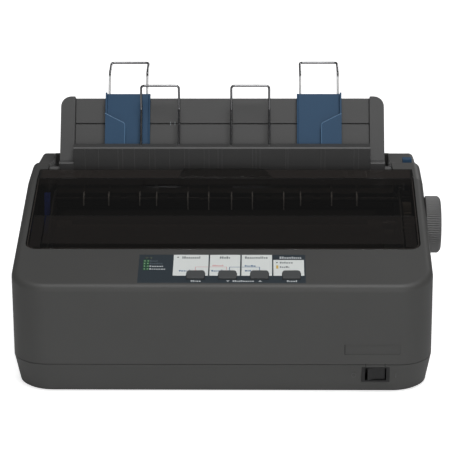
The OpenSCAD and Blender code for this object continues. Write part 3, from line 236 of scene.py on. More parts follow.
def drawn_metal(name, colour, rough, along=(1, 0, 0), line=0.4, depth=0.004, low=None, change=0.0):
    """Drawn, ground or rolled metal: fine lines along one axis, `line` mm apart and so coarser
    than the real ones, in the gloss and the relief. With `low`, the metal has that colour below
    the height `change`."""
    material, tree, where = new_material(name)
    # The noise is stretched fifty times along the lines
    stretch = [1 / (line * MM) * (0.02 if k else 1.0) for k in along]
    lines = add_node(tree, "ShaderNodeMapping", {"Vector": where, "Scale": stretch})
    streak = add_node(tree, "ShaderNodeTexNoise", {
        "Vector": lines.outputs["Vector"], "Scale": 1.0, "Detail": 2.0})
    gloss = add_node(tree, "ShaderNodeMapRange", {
        "Value": streak.outputs["Fac"], "To Min": rough - 0.07, "To Max": rough + 0.07})
    bump = add_node(tree, "ShaderNodeBump", {
        "Height": streak.outputs["Fac"], "Strength": 1.0, "Distance": depth * MM})
    tone, metallic = linear(colour), 1.0
    # With `low`, the colour below `change` is a painted reflection of pale surroundings
    if low:
        height = add_node(tree, "ShaderNodeSeparateXYZ", {"Vector": where}).outputs["Z"]
        rise = add_node(tree, "ShaderNodeMapRange", {
            "Value": height, "From Min": (change - 1) * MM, "From Max": (change + 1) * MM}).outputs["Result"]
        tone = add_node(tree, "ShaderNodeMix", {
            0: rise, FIRST_COLOUR: linear(low), SECOND_COLOUR: tone}, data_type="RGBA").outputs[MIXED_COLOUR]
        # The pale colour is a painted reflection, made partly diffuse as well as mirroring
        metallic = add_node(tree, "ShaderNodeMapRange", {
            "Value": rise, "To Min": 0.35, "To Max": 1.0}).outputs["Result"]
    body = add_node(tree, "ShaderNodeBsdfPrincipled", {
        "Base Color": tone, "Metallic": metallic, "Roughness": gloss.outputs["Result"],
        "Normal": bump.outputs["Normal"]})
    close_material(tree, body.outputs["BSDF"])
    return material


FINISH = {
    # Moulded ABS with a spark-eroded grain: matte, with soft broad highlights
    "case_plastic": moulded("case ABS, charcoal", "4d4d4c", 0.52),
    "guide_plastic": moulded("guide ABS, grey", "4e4e4e", 0.52),
    "guide_front_plastic": moulded("guide wall ABS, dark grey", "454545", 0.5),
    "knob_plastic": moulded("knob ABS, grey", "707070", 0.5),
    "black_plastic": moulded("black ABS", "1b1b1c", 0.46),
    # ABS from a finer tool: satin, with a small clear highlight
    "button_plastic": moulded("button ABS, satin", "535556", 0.42, grain=0.6, depth=0.012),
    # Polycarbonate with a smoke tint: polished, mirrors its surroundings
    "smoke_cover": tinted("smoke polycarbonate", "c3bfbb", 0.05),
    # Polyester film printed from behind: flat and satin
    "panel_print": moulded("printed film, blue-grey", "353e45", 0.38, grain=0.7, depth=0.006),
    # Acrylic: glossy, with hardly any grain
    "light_lens": moulded("light pipe acrylic", "4c554c", 0.22, grain=2, depth=0.004),
    # Acetal: waxy, smooth, with a broad soft highlight
    # Painted shade: the white acetal gears are coloured grey for the shade they lie in under the cover
    "white_gear": moulded("white acetal, painted grey for shade", "7a7771", 0.4, grain=1.5, depth=0.006),
    "bush_plastic": moulded("oiled acetal, brown", "5c564a", 0.34, grain=1.5, depth=0.006),
    "deep_blue_plastic": moulded("acetal, deep blue", "3058d8", 0.4, grain=1.2, depth=0.008),
    # Polystyrene: smoother than the case, with a weak highlight that keeps the blue deep
    "blue_plastic": moulded("polystyrene, slate blue", "2f5170", 0.46, grain=0.8, depth=0.018,
                            shader={"Specular IOR Level": 0.3}),
    # Rubber: dull, with the fine scratches of the grinding wheel or the dull skin of the mould
    "rubber": moulded("ground rubber", "161616", 0.72, grain=0.5, depth=0.05),
    "feet_rubber": moulded("moulded rubber", "181818", 0.8, grain=0.8, depth=0.04),
    # Woven nylon soaked with ink: black and dull
    "ink": moulded("inked nylon", "0b0b0e", 0.85, grain=0.5, depth=0.05),
    # Laminates: a glossy resin skin over a mottled cloth or paper
    "board": moulded("glass epoxy board", "1c4a2c", 0.3, grain=1.6, depth=0.01, cloud=0.15),
    "power_board": moulded("phenolic board", "7a6330", 0.45, grain=1.6, depth=0.02, cloud=0.15),
    # Metals, drawn, rolled or ground: highlights drawn out across the lines of the working
    "frame_steel": drawn_metal("zinc-plated sheet", "a8acb0", 0.42),
    "shaft_steel": drawn_metal("ground steel", "c8cacc", 0.24),
    "wire_steel": drawn_metal("bright nickel wire", "8c8c8e", 0.2, along=(0, 0, 1), line=0.6, depth=0.002),
    "screw_steel": drawn_metal("zinc-plated screw", "b4b6b8", 0.34),
    "motor_steel": drawn_metal("drawn steel can", "8f9194", 0.4),
    "port_metal": drawn_metal("plated socket", "b2b4b6", 0.32),
    "brass": drawn_metal("turned brass", "c7a65c", 0.3),
    "head_aluminium": drawn_metal("anodised die-casting", "4c4d52", 0.45, line=0.8),
}


def print_ink(name, colour):
    """Printing ink under the film's satin skin."""
    return moulded(name, colour, 0.38, grain=0.7, depth=0.006, cloud=0.02)


INK = {
    "white": print_ink("white ink", "f3f7f5"),
    "grey": print_ink("grey ink", "8a8f91"),
    "pale": print_ink("pale ink", "c9cfd2"),
    "dim": print_ink("dim ink", "59646c"),
    "green": print_ink("green ink", "2e6440"),
    "light green": print_ink("light green ink", "b3d2ae"),
    "blue": print_ink("blue ink", "46709c"),
    "red": print_ink("red ink", "e6a9aa"),
    "dark": print_ink("dark ink", "3c4348"),
    "yellow": print_ink("yellow ink", "e6c45c"),
    "seam": print_ink("shadow in a seam", "0c0c0c"),
    "mark": print_ink("faint grey ink", "5c5c5c"),
    # Textures of the smoke cover: they veil what lies under them. The last is a painted highlight along the
    # cover's edge
    "front haze": hazed("fine texture, front of the cover", "2c2a29", 0.7),
    "rear haze": hazed("fine texture, rear of the cover", "403c3a", 0.55),
    "light haze": hazed("light texture, rear of the cover", "2c2a29", 0.4),
    "cover rim": hazed("edge of the cover", "4a4542", 0.6),
}
# Nodes and small features that look different from the rest of their slot
NODE_FINISH = {
    "eject_shaft": drawn_metal("blackened steel", "2e2e30", 0.34),
    "carriage_rod": drawn_metal("ground steel, oiled dark", "4a4a4c", 0.3),
    # Painted shade: the platen shaft is coloured dark, as it looks in the shade under the cover
    "platen_shaft": drawn_metal("ground steel, painted dark for shade", "4a4a4c", 0.36),
    # Above the bends the wire mirrors the dark room; below them its colour is a painted pale reflection of
    # the white surroundings
    "rear wires": drawn_metal("nickel wire, painted pale reflection at the foot", "7c7c7e", 0.2, along=(0, 0, 1),
                              line=0.6, depth=0.002, low="fafafa", change=190.0),
    "ribbon_cartridge": moulded("cartridge polystyrene, brown-grey", "6e6862", 0.5),
    "ribbon_knob": moulded("winding knob, brown-grey", "625c57", 0.5),
    # Painted highlight: the wall's raised lines are coloured lighter than the wall
    "wall_lines": moulded("guide wall ABS, painted lighter as a highlight", "585858", 0.45),
    # Painted highlight: the exit guide's black ribs get pale fins that stand for their lit edges
    "exit_fins": moulded("rib edges, painted pale as a highlight", "ccd2d8", 0.4, grain=1.5, depth=0.006),
    # Painted highlight: the beads on the lips' edges are a lighter blue
    "lip_beads": moulded("polystyrene, slate blue, painted lighter as a highlight", "567a9c", 0.4),
}
SLOT = {row["node"]: row["material_slot"] for row in frame["record"]["subparts"]}
BODY = {node: body for body, nodes in frame["record"]["behaviour"]["bodies"].items() for node in nodes}

# ---- Making pieces ----

# Two faces that meet at more than this angle have an edge between them
SHARP = math.radians(35)
# A face this many times larger than its neighbour counts as the flat beside a rounding
FLAT_SHARE = 4
# Corners nearer than this are merged, and faces that lean less than this are joined to one flat
MERGE_GAP = 0.002
FLAT_LEAN = math.radians(0.4)


def finish_piece(piece, slot, body, replaces=(), material=None):
    """Gives a new piece its material, the body it rides on and the nodes that it stands for."""
    piece.data.materials.append(material or FINISH[slot])
    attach(piece, body)
    if replaces:
        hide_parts(*replaces)


def new_object(name, verts, faces):
    """Mesh object from an array of places in metres and a list of faces."""
    mesh = bpy.data.meshes.new(name)
    mesh.from_pydata(np.asarray(verts).reshape(-1, 3).tolist(), [], faces)
    mesh.update()
    piece = bpy.data.objects.new(name, mesh)
    bpy.context.scene.collection.objects.link(piece)
    return piece


def outward(piece):
    """Turns the faces of a closed mesh outward."""
    work = bmesh.new()
    work.from_mesh(piece.data)
    bmesh.ops.recalc_face_normals(work, faces=work.faces)
    work.to_mesh(piece.data)
    work.free()


def grid_object(name, points, wrap=False, caps=False):
    """Mesh from a grid of places in metres, rows by columns, with a quad in each cell. wrap joins
    the last column to the first, and caps closes the first and the last row with a face each."""
    rows, cols = points.shape[:2]
    r, c = np.meshgrid(np.arange(rows - 1), np.arange(cols if wrap else cols - 1), indexing="ij")
    beside = (c + 1) % cols
    cells = np.stack([r * cols + c, r * cols + beside, (r + 1) * cols + beside, (r + 1) * cols + c], -1)
    faces = cells.reshape(-1, 4).tolist()
    if caps:
        faces += [list(range(cols))[::-1], list(range((rows - 1) * cols, rows * cols))]
    piece = new_object(name, points, faces)
    if caps:
        outward(piece)
    return piece


def crease(piece):
    """Smooth shading, but sharp where two faces meet at an edge."""
    piece.data.shade_smooth()
    work = bmesh.new()
    work.from_mesh(piece.data)
    for edge in work.edges:
        edge.smooth = edge.calc_face_angle(math.pi) < SHARP
    work.to_mesh(piece.data)
    work.free()


def broken_edges(piece, width, segments=2):
    """A bevel of a width in millimetres on the sharp edges, with corner normals weighed by the
    faces' areas, so that the flats beside the bevel stay flat."""
    bevel = piece.modifiers.new("broken edges", "BEVEL")
    bevel.width = width * MM
    bevel.segments = segments
    bevel.limit_method = "ANGLE"
    bevel.angle_limit = SHARP
    weigh = piece.modifiers.new("weighed normals", "WEIGHTED_NORMAL")
    weigh.mode = "FACE_AREA"
    weigh.weight = 100
    weigh.keep_sharp = True


def dressed(node, bevel):
    """A copy of a CAD node, merged and its flat faces joined, with its sharp edges broken by
    a bevel in millimetres; it replaces the node. Where a large flat face meets the first narrow
    facet of a rounding, the shading is split, so that the flat face stays flat."""
    mesh = frame["nodes"][node].data.copy()
    mesh.name = "dressed_" + node
    mesh.materials.clear()
    work = bmesh.new()
    work.from_mesh(mesh)
    bmesh.ops.remove_doubles(work, verts=work.verts, dist=MERGE_GAP * MM)
    bmesh.ops.dissolve_limit(work, angle_limit=FLAT_LEAN, verts=work.verts, edges=work.edges)
    for face in work.faces:
        face.smooth = True
    for edge in work.edges:
        areas = sorted(face.calc_area() for face in edge.link_faces)
        edge.smooth = areas[-1] < FLAT_SHARE * areas[0] and edge.calc_face_angle(SHARP) < SHARP
    work.to_mesh(mesh)
    work.free()
    piece = bpy.data.objects.new("dressed_" + node, mesh)
    bpy.context.scene.collection.objects.link(piece)
    broken_edges(piece, bevel)
    finish_piece(piece, SLOT[node], BODY[node], [node], NODE_FINISH.get(node))


def rounded_path(corners, radii, steps=8):
    """Path through corner points with each inner corner rounded: between the two points a radius
    before and after it, a quadratic curve that the corner pulls on."""
    corners = np.asarray(corners, float)
    radii = np.broadcast_to(radii, len(corners) - 2)[:, None]
    before, mid, after = corners[:-2], corners[1:-1], corners[2:]
    start = mid + radii * (before - mid) / np.linalg.norm(before - mid, axis=-1, keepdims=True)
    end = mid + radii * (after - mid) / np.linalg.norm(after - mid, axis=-1, keepdims=True)
    t = np.linspace(0, 1, steps)[None, :, None]
    curve = (1 - t) ** 2 * start[:, None] + 2 * t * (1 - t) * mid[:, None] + t ** 2 * end[:, None]
    return np.concatenate([corners[:1], curve.reshape(-1, corners.shape[1]), corners[-1:]])


def tube(path, radius, reference, sides=24):
    """A circle carried along a path. At each point it is spanned by the side, which is square to
    the path's direction and to a fixed reference, and by what is square to both."""
    ahead = np.gradient(path, axis=0)
    ahead /= np.linalg.norm(ahead, axis=-1, keepdims=True)
    side = np.cross(ahead, reference)
    side /= np.linalg.norm(side, axis=-1, keepdims=True)
    up = np.cross(side, ahead)
    turn = np.linspace(0, 2 * np.pi, sides, endpoint=False)[None, :, None]
    return path[:, None] + radius * (np.cos(turn) * side[:, None] + np.sin(turn) * up[:, None])


def boxes(lows, highs):
    """Corner points and faces of many boxes, given their lowest and highest corners."""
    lows, highs = np.asarray(lows, float), np.asarray(highs, float)
    pick = np.array([[i >> 2 & 1, i >> 1 & 1, i & 1] for i in range(8)])
    verts = np.where(pick[None], highs[:, None], lows[:, None])
    quads = np.array([[0, 1, 3, 2], [4, 6, 7, 5], [0, 4, 5, 1], [2, 3, 7, 6], [0, 2, 6, 4], [1, 5, 7, 3]])
    faces = (quads[None] + 8 * np.arange(len(lows))[:, None, None]).reshape(-1, 4)
    return verts.reshape(-1, 3), faces.tolist()


# ---- Nodes that keep the CAD's own form, with broken edges ----

# Widths of the broken edges: larger on the large mouldings
SMALL_BEVEL = 0.15
BEVELS = {
    "upper_case": 0.3, "lower_case": 0.3, "printer_cover": 0.45, "sheet_guide": 0.5,
    "edge_guide_left": 0.4, "edge_guide_right": 0.4,
}
FRONT_WIRES = ("wire_support_front_left", "wire_support_front_right")
REAR_WIRES = ("wire_support_rear_left", "wire_support_rear_right")
REBUILT = (*FRONT_WIRES, *REAR_WIRES, "feed_knob")
for node_name in SLOT:
    if node_name not in REBUILT:
        dressed(node_name, BEVELS.get(node_name, SMALL_BEVEL))

# ---- Wire paper supports ----

# Radius of the wire, and half the distance between a support's legs
WIRE_R = 1.0
WIRE_HALF = 16.5
# Radii of the four bends: the lower pair is tight, so that the legs slide fully into the guide
WIRE_BENDS = (1.2, 3.0, 3.0, 1.2)


def wire_support(node, x, w, foot, bend, arm, lean, material):
    """Round wire, a circle carried along a rounded path: at a distance w in front of the guide's
    panel two legs go up from `foot` to `bend`, and from there two arms of length `arm` lean forward
    by `lean` degrees, joined by a crossbar."""
    tip_w = w + arm * math.sin(math.radians(lean))
    tip_v = bend + arm * math.cos(math.radians(lean))
    side = [(w, foot), (w, bend), (tip_w, tip_v)]
    corners = [[x - WIRE_HALF, *spot] for spot in side] + [[x + WIRE_HALF, *spot] for spot in side[::-1]]
    path = on_guide(rounded_path(corners, WIRE_BENDS))
    # Square to the arms and to the crossbar, and never along the wire
    arm_way = on_guide([x, tip_w, tip_v]) - on_guide([x, w, bend])
    reference = np.cross(arm_way / np.linalg.norm(arm_way), [1, 0, 0])
    points = place(tube(path, WIRE_R, reference))
    piece = grid_object(node.replace("wire_support", "wire"), points, wrap=True, caps=True)
    crease(piece)
    finish_piece(piece, "wire_steel", BODY[node], [node], material)


for node_name, x in zip(FRONT_WIRES, (-57.55, 21.05)):
    wire_support(node_name, x, w=10.9, foot=8, bend=44, arm=21.4, lean=33, material=FINISH["wire_steel"])
for node_name, x in zip(REAR_WIRES, (-86.25, 81.25)):
    wire_support(node_name, x, w=2.1, foot=55, bend=80, arm=23, lean=-51, material=NODE_FINISH["rear wires"])

# ---- Feed knob ----

KNOB_GROOVES = 76
GROOVE_DEPTH = 0.8


def feed_knob():
    """Turned form: a profile of stations along the axis and radii, turned about the platen's axis.
    The rim's radius is cut by round-bottomed grooves: the depth times the square of a raised cosine
    of the angle, times the share that the profile gives."""
    x0, x1 = KNOB_X
    hub_x, hub_r, axis_r = 157.6, 7.0, 0.01
    # Station along the axis, radius, and the share of the groove's depth cut there
    profile = np.array([
        (hub_x, axis_r, 0), (hub_x, hub_r, 0), (x0, hub_r, 0), (x0, KNOB_R - 1.0, 0),
        (x0 + 0.4, KNOB_R - 0.2, 0.6), (x0 + 1.0, KNOB_R, 1), (x1 - 2.6, KNOB_R, 1),
        (x1 - 1.6, KNOB_R - 0.5, 1), (x1 - 0.5, KNOB_R - 1.7, 0.4), (x1, KNOB_R - 2.6, 0),
        (x1, KNOB_R - 4.6, 0), (x1 - 0.3, KNOB_R - 5.0, 0), (x1 - 1.0, KNOB_R - 5.3, 0),
        (x1 - 1.0, axis_r, 0)])
    turn = np.linspace(0, 2 * np.pi, KNOB_GROOVES * 8, endpoint=False)
    cut = GROOVE_DEPTH * (0.5 - 0.5 * np.cos(KNOB_GROOVES * turn)) ** 2
    radius = profile[:, 1:2] - profile[:, 2:3] * cut[None]
    x = np.repeat(profile[:, :1], len(turn), 1)
    points = np.stack([x, PLATEN[0] + radius * np.cos(turn), PLATEN[1] + radius * np.sin(turn)], -1)
    piece = grid_object("feed_knob_ribbed", place(points), wrap=True, caps=True)
    crease(piece)
    finish_piece(piece, "knob_plastic", BODY["feed_knob"], ["feed_knob"])


feed_knob()

# ---- Printed panel ----


def printed(name, outlines, ink, height, lay=deck_sheet, body="root", slot="panel_print"):
    """Flat printed marks: each outline is a polygon that `lay` puts in its place, at a height above
    the face that carries it."""
    ends = np.cumsum([len(outline) for outline in outlines])
    faces = [list(range(end - len(outline), end)) for outline, end in zip(outlines, ends)]
    flat = np.concatenate([np.asarray(outline, float) for outline in outlines])
    finish_piece(new_object(name, place(lay(flat, height)), faces), slot, body, material=INK[ink])


def bar(x0, x1, s0, s1):
    """Outline of a rectangle, anticlockwise."""
    return [[x0, s0], [x1, s0], [x1, s1], [x0, s1]]


def dot(x, s, r, sides=20):
    """Outline of a round dot: points at equal steps round a circle."""
    turn = np.linspace(0, 2 * np.pi, sides, endpoint=False)
    return np.stack([x + r * np.cos(turn), s + r * np.sin(turn)], -1)


def word(x0, x1, s, tall=2.4):
    """Upright bars that stand for a line of print between x0 and x1, centred on s: seeded widths,
    and the height of a capital, `tall`, or of a small letter."""
    rng = np.random.default_rng(int(abs(x0) * 10 + s * 7))
    letters, gap, least = 32, 0.45, 0.3
    wide = rng.uniform(0.9, 1.7, letters)
    high = tall * rng.choice([0.7, 0.7, 1.0], letters)
    high[0] = tall
    starts = x0 + np.concatenate([[0], np.cumsum(wide[:-1] + gap)])
    ends = np.minimum(starts + wide, x1)
    foot = s - tall / 2
    return [bar(a, b, foot, foot + h) for a, b, h in zip(starts, ends, high) if b - a > least]


def notched_box(x0, x1, s0, s1, mid):
    """A rectangle with a notch at its front edge, its rear corners quarter circles, that leaves
    a line round a button."""
    line, r = 0.5, 3.0
    half, top = BUTTON_W / 2 + line, BUTTON_S + BUTTON_D + line
    turn = np.linspace(0, np.pi / 2, 7)
    left = np.stack([mid - half + r - r * np.cos(turn), top - r + r * np.sin(turn)], -1)
    right = np.stack([mid + half - r + r * np.sin(turn), top - r + r * np.cos(turn)], -1)
    return np.concatenate([
        [[x0, s0], [mid - half, s0]], left, right, [[mid + half, s0], [x1, s0], [x1, s1], [x0, s1]]])


# Heights over the deck of what is printed on the film, and of what is printed on the white fields
FILM_TOP = 0.03
PRINT_TOP = 0.06
# White fields: left, right and rear edge of each
FIELDS = ((-39.0, -10.9, 48.0), (-9.8, 14.5, 48.0), (15.7, 40.0, 48.0), (41.1, 65.6, 40.4))
FIELD_FRONT = 16.8
printed("panel_fields",
        [notched_box(x0, x1, FIELD_FRONT, rear, mid) for (x0, x1, rear), mid in zip(FIELDS, BUTTON_X)],
        "white", FILM_TOP)
# Headings of the fields, and the lines and marks that stand in them
printed("panel_headings",
        word(-32.1, -17.7, 43.8, 3.2) + word(-1.9, 6.5, 43.8, 3.2) + word(18.3, 36.8, 43.8, 3.2)
        + word(46.3, 56.7, 36.3) + word(46.2, 53.8, 29.8), "grey", PRINT_TOP)
printed("panel_lines_blue",
        word(-34.1, -28.0, 24.0, 2.0) + word(-8.3, -1.2, 24.0, 2.0)
        + word(18.2, 27.2, 31.4, 2.0) + word(18.5, 23.2, 24.1, 2.0)
        + [bar(-25.9, -25.4, 22.8, 25.8), bar(-0.3, 0.2, 22.8, 25.8), bar(5.8, 6.3, 23.8, 29.3),
           bar(5.8, 14.5, 29.3, 29.8), bar(15.7, 30.3, 29.3, 29.8), bar(29.8, 30.3, 24.1, 29.3)],
        "blue", PRINT_TOP)
printed("panel_lines_red",
        word(-7.5, 1.0, 31.8, 2.0)
        + [bar(-21.3, -20.9, 23.8, 29.6), bar(-21.3, -10.9, 29.6, 30.0), bar(-9.8, 3.9, 29.6, 30.0),
           bar(3.5, 3.9, 25.4, 29.6)], "red", PRINT_TOP)
printed("panel_dots_dark", [dot(-35.5, 44.2, 0.75), dot(43.9, 36.3, 0.7)], "dark", PRINT_TOP)
printed("panel_mark_yellow", [bar(43.3, 45.0, 27.3, 32.2)], "yellow", PRINT_TOP)
# Table of fonts at the left: two columns of green marks with a line of print beside each row
FONT_ROWS = ((38.7, -51.4), (34.8, -47.8), (30.8, -46.4), (26.7, -44.8))
MARK_X = (-62.0, -59.4)
printed("panel_marks_green",
        [bar(x - 1.1, x + 1.1, s - 1.7, s + 1.7) for s, _ in FONT_ROWS for x in MARK_X], "green", FILM_TOP)
printed("panel_marks_light",
        [dot(x, s, 0.55) for s, _ in FONT_ROWS for x in MARK_X], "light green", PRINT_TOP)
for tone, rows in (("dim", FONT_ROWS[:2]), ("pale", FONT_ROWS[2:])):
    printed("panel_font_names_" + tone,
            [letter for s, x1 in rows for letter in word(-57.9, x1, s, 2.0)], tone, FILM_TOP)
# Legends on the dark film, over the last field and in front of the buttons, and two arrows
ARROWS = [[[3.6, 9.9], [5.1, 7.9], [6.6, 9.9]], [[29.1, 8.1], [32.1, 8.1], [30.6, 10.1]]]
printed("panel_legends",
        word(46.1, 64.1, 43.8, 3.2) + word(-24.3, -16.5, 9.0) + word(8.9, 26.4, 9.0)
        + word(51.8, 59.7, 9.0) + ARROWS, "pale", FILM_TOP)

# ---- Sheet guide's small features ----

# Dark seam at each end of the panel, a painted shadow in the gap beside the side wall, and two ticks beside
# the groove that mark the sheet's edge: their widths, and how far up the panel they reach
PANEL_X = (-132.6, 125.5)
SEAM_W, SEAM_V = 0.7, (9.5, 57.0)
TICK_W, TICK_V = 0.6, (32.6, 35.8)
GUIDE_PRINT_TOP = 0.05
printed("panel_end_seams", [bar(x, x + SEAM_W, *SEAM_V) for x in (PANEL_X[0], PANEL_X[1] - SEAM_W)],
        "seam", GUIDE_PRINT_TOP, guide_sheet, "guide", "guide_plastic")
printed("sheet_edge_ticks", [bar(x, x + TICK_W, *TICK_V) for x in (-49.2, -45.4)],
        "grey", GUIDE_PRINT_TOP, guide_sheet, "guide", "guide_plastic")

# Faint raised lines on the front of the slot's wall, where ribs behind it show through the skin; their
# lighter colour is a painted highlight
BAND_LINES = (-122.3, -110.6, -93.6, -89.6, -79.3, -66.3, -61.5, -48.9, -35.9, -32.0, -18.9, -14.6, -6.8,
              -3.3, 23.3, 26.2, 29.6, 52.0, 53.9, 82.5, 86.0, 111.1, 115.1)
LINE_HALF_W, LINE_Y, LINE_Z = 0.3, (204.75, 205.1), (119.4, 138.9)
verts, faces = boxes([[x - LINE_HALF_W, LINE_Y[0], LINE_Z[0]] for x in BAND_LINES],
                     [[x + LINE_HALF_W, LINE_Y[1], LINE_Z[1]] for x in BAND_LINES])
piece = new_object("wall_lines", place(verts), faces)
broken_edges(piece, 0.08)
finish_piece(piece, "guide_front_plastic", "guide", material=NODE_FINISH["wall_lines"])

# A narrow rib up the inner edge of each edge guide: its reach in front of the panel and up it
RIB_W, RIB_V = (3.8, 5.6), (3.2, 59.8)
for x0, x1, body in ((-68.25, -66.75, "left_edge_guide"), (61.75, 63.25, "right_edge_guide")):
    verts, faces = boxes([[x0, RIB_W[0], RIB_V[0]]], [[x1, RIB_W[1], RIB_V[1]]])
    piece = new_object(body + "_rib", place(on_guide(verts)), faces)
    broken_edges(piece, 0.5, 3)
    finish_piece(piece, "blue_plastic", body)

# A rounded bead along the free edge of each lip: down its slanted top, then down its inner side. Its lighter
# blue is a painted highlight on the lip's edge
LIP_W, LIP_FOOT, LIP_TOP, LIP_LOW = 8.2, 7.0, 41.0, 32.0
LIP_CORNER_R = 2.0
BEAD_R = 0.55
out_of_lip = on_guide([0, 1, 0]) - on_guide([0, 0, 0])
for x_out, x_in, body in ((-106.0, -88.6, "left_edge_guide"), (100.6, 83.2, "right_edge_guide")):
    corners = [[x_out, LIP_W, LIP_TOP], [x_in, LIP_W, LIP_LOW], [x_in, LIP_W, LIP_FOOT]]
    path = on_guide(rounded_path(corners, LIP_CORNER_R))
    points = place(tube(path, BEAD_R, out_of_lip, sides=16))
    piece = grid_object(body + "_bead", points, wrap=True, caps=True)
    crease(piece)
    finish_piece(piece, "blue_plastic", body, material=NODE_FINISH["lip_beads"])

# ---- Under the cover ----

# Pale fins on the ribs of the exit guide, a painted highlight on the ribs' edges; those in the middle reach
# further down
FIN_XS = (-120.0, -98.7, -72.3, -58.0, -31.4, -13.7, 5.7, 23.4, 50.0, 64.3, 90.7, 112.0)
FIN_MIDDLE = (-40.0, 55.0)
FIN_FOOT, FIN_FOOT_MIDDLE = 105.4, 98.6
FIN_HALF_T = 0.5
FIN_R_IN, FIN_R_OUT = 4.6, 6.4


def fin(x, foot):
    """Grid for one fin: an inner and an outer line, joined across its thickness. Both are circles
    about the eject shaft, from 20 to 180 degrees, carried on straight down to the fin's foot."""
    arc = np.radians(np.linspace(20, 180, 24))
    inner, outer = (
        np.concatenate([
            np.stack([EJECT[0] + radius * np.cos(arc), EJECT[1] + radius * np.sin(arc)], -1),
            [[EJECT[0] - radius, foot]]])
        for radius in (FIN_R_IN, FIN_R_OUT))
    return np.stack([np.column_stack([np.full(len(line), x + side * FIN_HALF_T), line])
                     for side, line in ((-1, inner), (-1, outer), (1, outer), (1, inner))], 1)


for number, x in enumerate(FIN_XS):
    foot = FIN_FOOT_MIDDLE if FIN_MIDDLE[0] < x < FIN_MIDDLE[1] else FIN_FOOT
    piece = grid_object(f"exit_fin_{number + 1}", place(fin(x, foot)), wrap=True, caps=True)
    crease(piece)
    finish_piece(piece, "white_gear", "root", material=NODE_FINISH["exit_fins"])

# ---- Smoke cover's small features ----

cover_body = BODY["printer_cover"]
# Marks lie just above the cover: out of the deck on its slope, over the table on its flat rear part
COVER_PRINT = -0.17
JOINT_H = RIM_H - 0.16
REAR_HAZE_H = RIM_H - 0.18
# Ends of the bands on the slope, the inner side walls, and half the gap that is left over each
BAND_END, WALL_X, WALL_GAP = 157.4, 148.0, 0.6
# Ends of the bands at the rear
REAR_END = 158.0
# Fold across the middle of the cover, and the width of its line
COVER_FOLD, FOLD_W = 109.3, 0.8

# Dark joint round the raised finger tab, a painted shadow in its gap, on the cover's flat rear part: the
# tab's corners, and how far outside each of them the joint's outer line lies
TAB = np.array([[-35.9, 191.2], [-38.6, 171.4], [39.2, 171.4], [33.1, 191.2]])
JOINT = np.array([[-0.9, 0.0], [-0.9, -0.8], [0.9, -0.8], [0.9, 0.0]])
joint = np.stack([level_sheet(line, JOINT_H) for line in (TAB, TAB + JOINT)])
finish_piece(grid_object("tab_joint", place(joint)), "smoke_cover", cover_body, material=INK["seam"])

# Textured bands across the cover, and dark folds, painted shade in its creases
for name, ink, height, lay, outlines in (
    ("cover_front_haze", "front haze", COVER_PRINT, deck_sheet, [
        bar(-BAND_END, -WALL_X - WALL_GAP, 60.2, 108.8),
        bar(-WALL_X + WALL_GAP, WALL_X - WALL_GAP, 65.2, 108.8),
        bar(WALL_X + WALL_GAP, BAND_END, 60.2, 108.8)]),
    ("cover_rear_haze", "light haze", COVER_PRINT, deck_sheet, [
        bar(-REAR_END, REAR_END, 160.5, COVER_REAR - FOLD_W)]),
    ("cover_folds", "seam", COVER_PRINT, deck_sheet, [
        bar(-BAND_END, BAND_END, COVER_FOLD - FOLD_W / 2, COVER_FOLD + FOLD_W / 2),
        bar(-REAR_END, REAR_END, COVER_REAR - FOLD_W, COVER_REAR)]),
    ("cover_flat_haze", "rear haze", REAR_HAZE_H, level_sheet, [
        bar(-REAR_END, REAR_END, 169.4, 190.6)]),
):
    printed(name, outlines, ink, height, lay, cover_body, "smoke_cover")

# Pale line just inside the cover's edge, a painted highlight: a band between two rounded paths, at these
# distances
RIM_LINE = (0.7, 1.5)
RIM_CORNER_R = 8.0
rim_paths = [
    rounded_path([[-half, COVER_REAR], [-half, front], [half, front], [half, COVER_REAR]], RIM_CORNER_R)
    for half, front in ((COVER_HALF - inset, COVER_FRONT + inset) for inset in RIM_LINE)]
rim_band = np.stack([deck_sheet(path, COVER_PRINT) for path in rim_paths])
finish_piece(grid_object("cover_rim_line", place(rim_band)), "smoke_cover", cover_body,
             material=INK["cover rim"])

# ---- Case's small features ----

# The rear wall's full height at both ends of the gap for the guide
verts, faces = boxes([[-154.5, 272.6, 97.5], [139.4, 272.6, 97.5]],
                     [[-146.4, 274.9, 112.2], [145.0, 274.9, 112.2]])
piece = new_object("rear_wall_ends", place(verts), faces)
broken_edges(piece, 0.4)
finish_piece(piece, "case_plastic", "root")


def ring(x, z, radius, thick, y, sides=32):
    """Flat ring on the front face: the band between two circles about (x, z), at a distance y
    behind the front."""
    turn = np.linspace(0, 2 * np.pi, sides, endpoint=False)
    span = np.array([radius - thick, radius])[:, None]
    return np.stack([x + span * np.cos(turn), np.full((2, sides), y), z + span * np.sin(turn)], -1)


# Off and on marks beside the rocker, the short joint lines from the seam to the bezel, and a line of painted
# shade down the left wall of the front's shallow recess. Marks and lines stand out of the front face by a
# hair, so that they aren't lost in it
FRONT_PRINT, BEHIND_FRONT = -0.03, 0.1
MARK_W = 0.5
finish_piece(grid_object("switch_mark_off", place(ring(105.2, 16.6, 2.0, 0.45, FRONT_PRINT)), wrap=True),
             "case_plastic", "root", material=INK["mark"])
for name, ink, spots in (
    ("switch_mark_on", "mark", [(138.6, 14.4, 18.8)]),
    ("front_joints_and_recess_shade", "seam", [(114.45, 23.3, 26.6), (129.85, 23.3, 26.6), (97.7, 34.4, 42.9)]),
):
    verts, faces = boxes([[x, FRONT_PRINT, z0] for x, z0, _ in spots],
                         [[x + MARK_W, BEHIND_FRONT, z1] for x, _, z1 in spots])
    finish_piece(new_object(name, place(verts), faces), "case_plastic", "root", material=INK[ink])

# ---- Stage ----

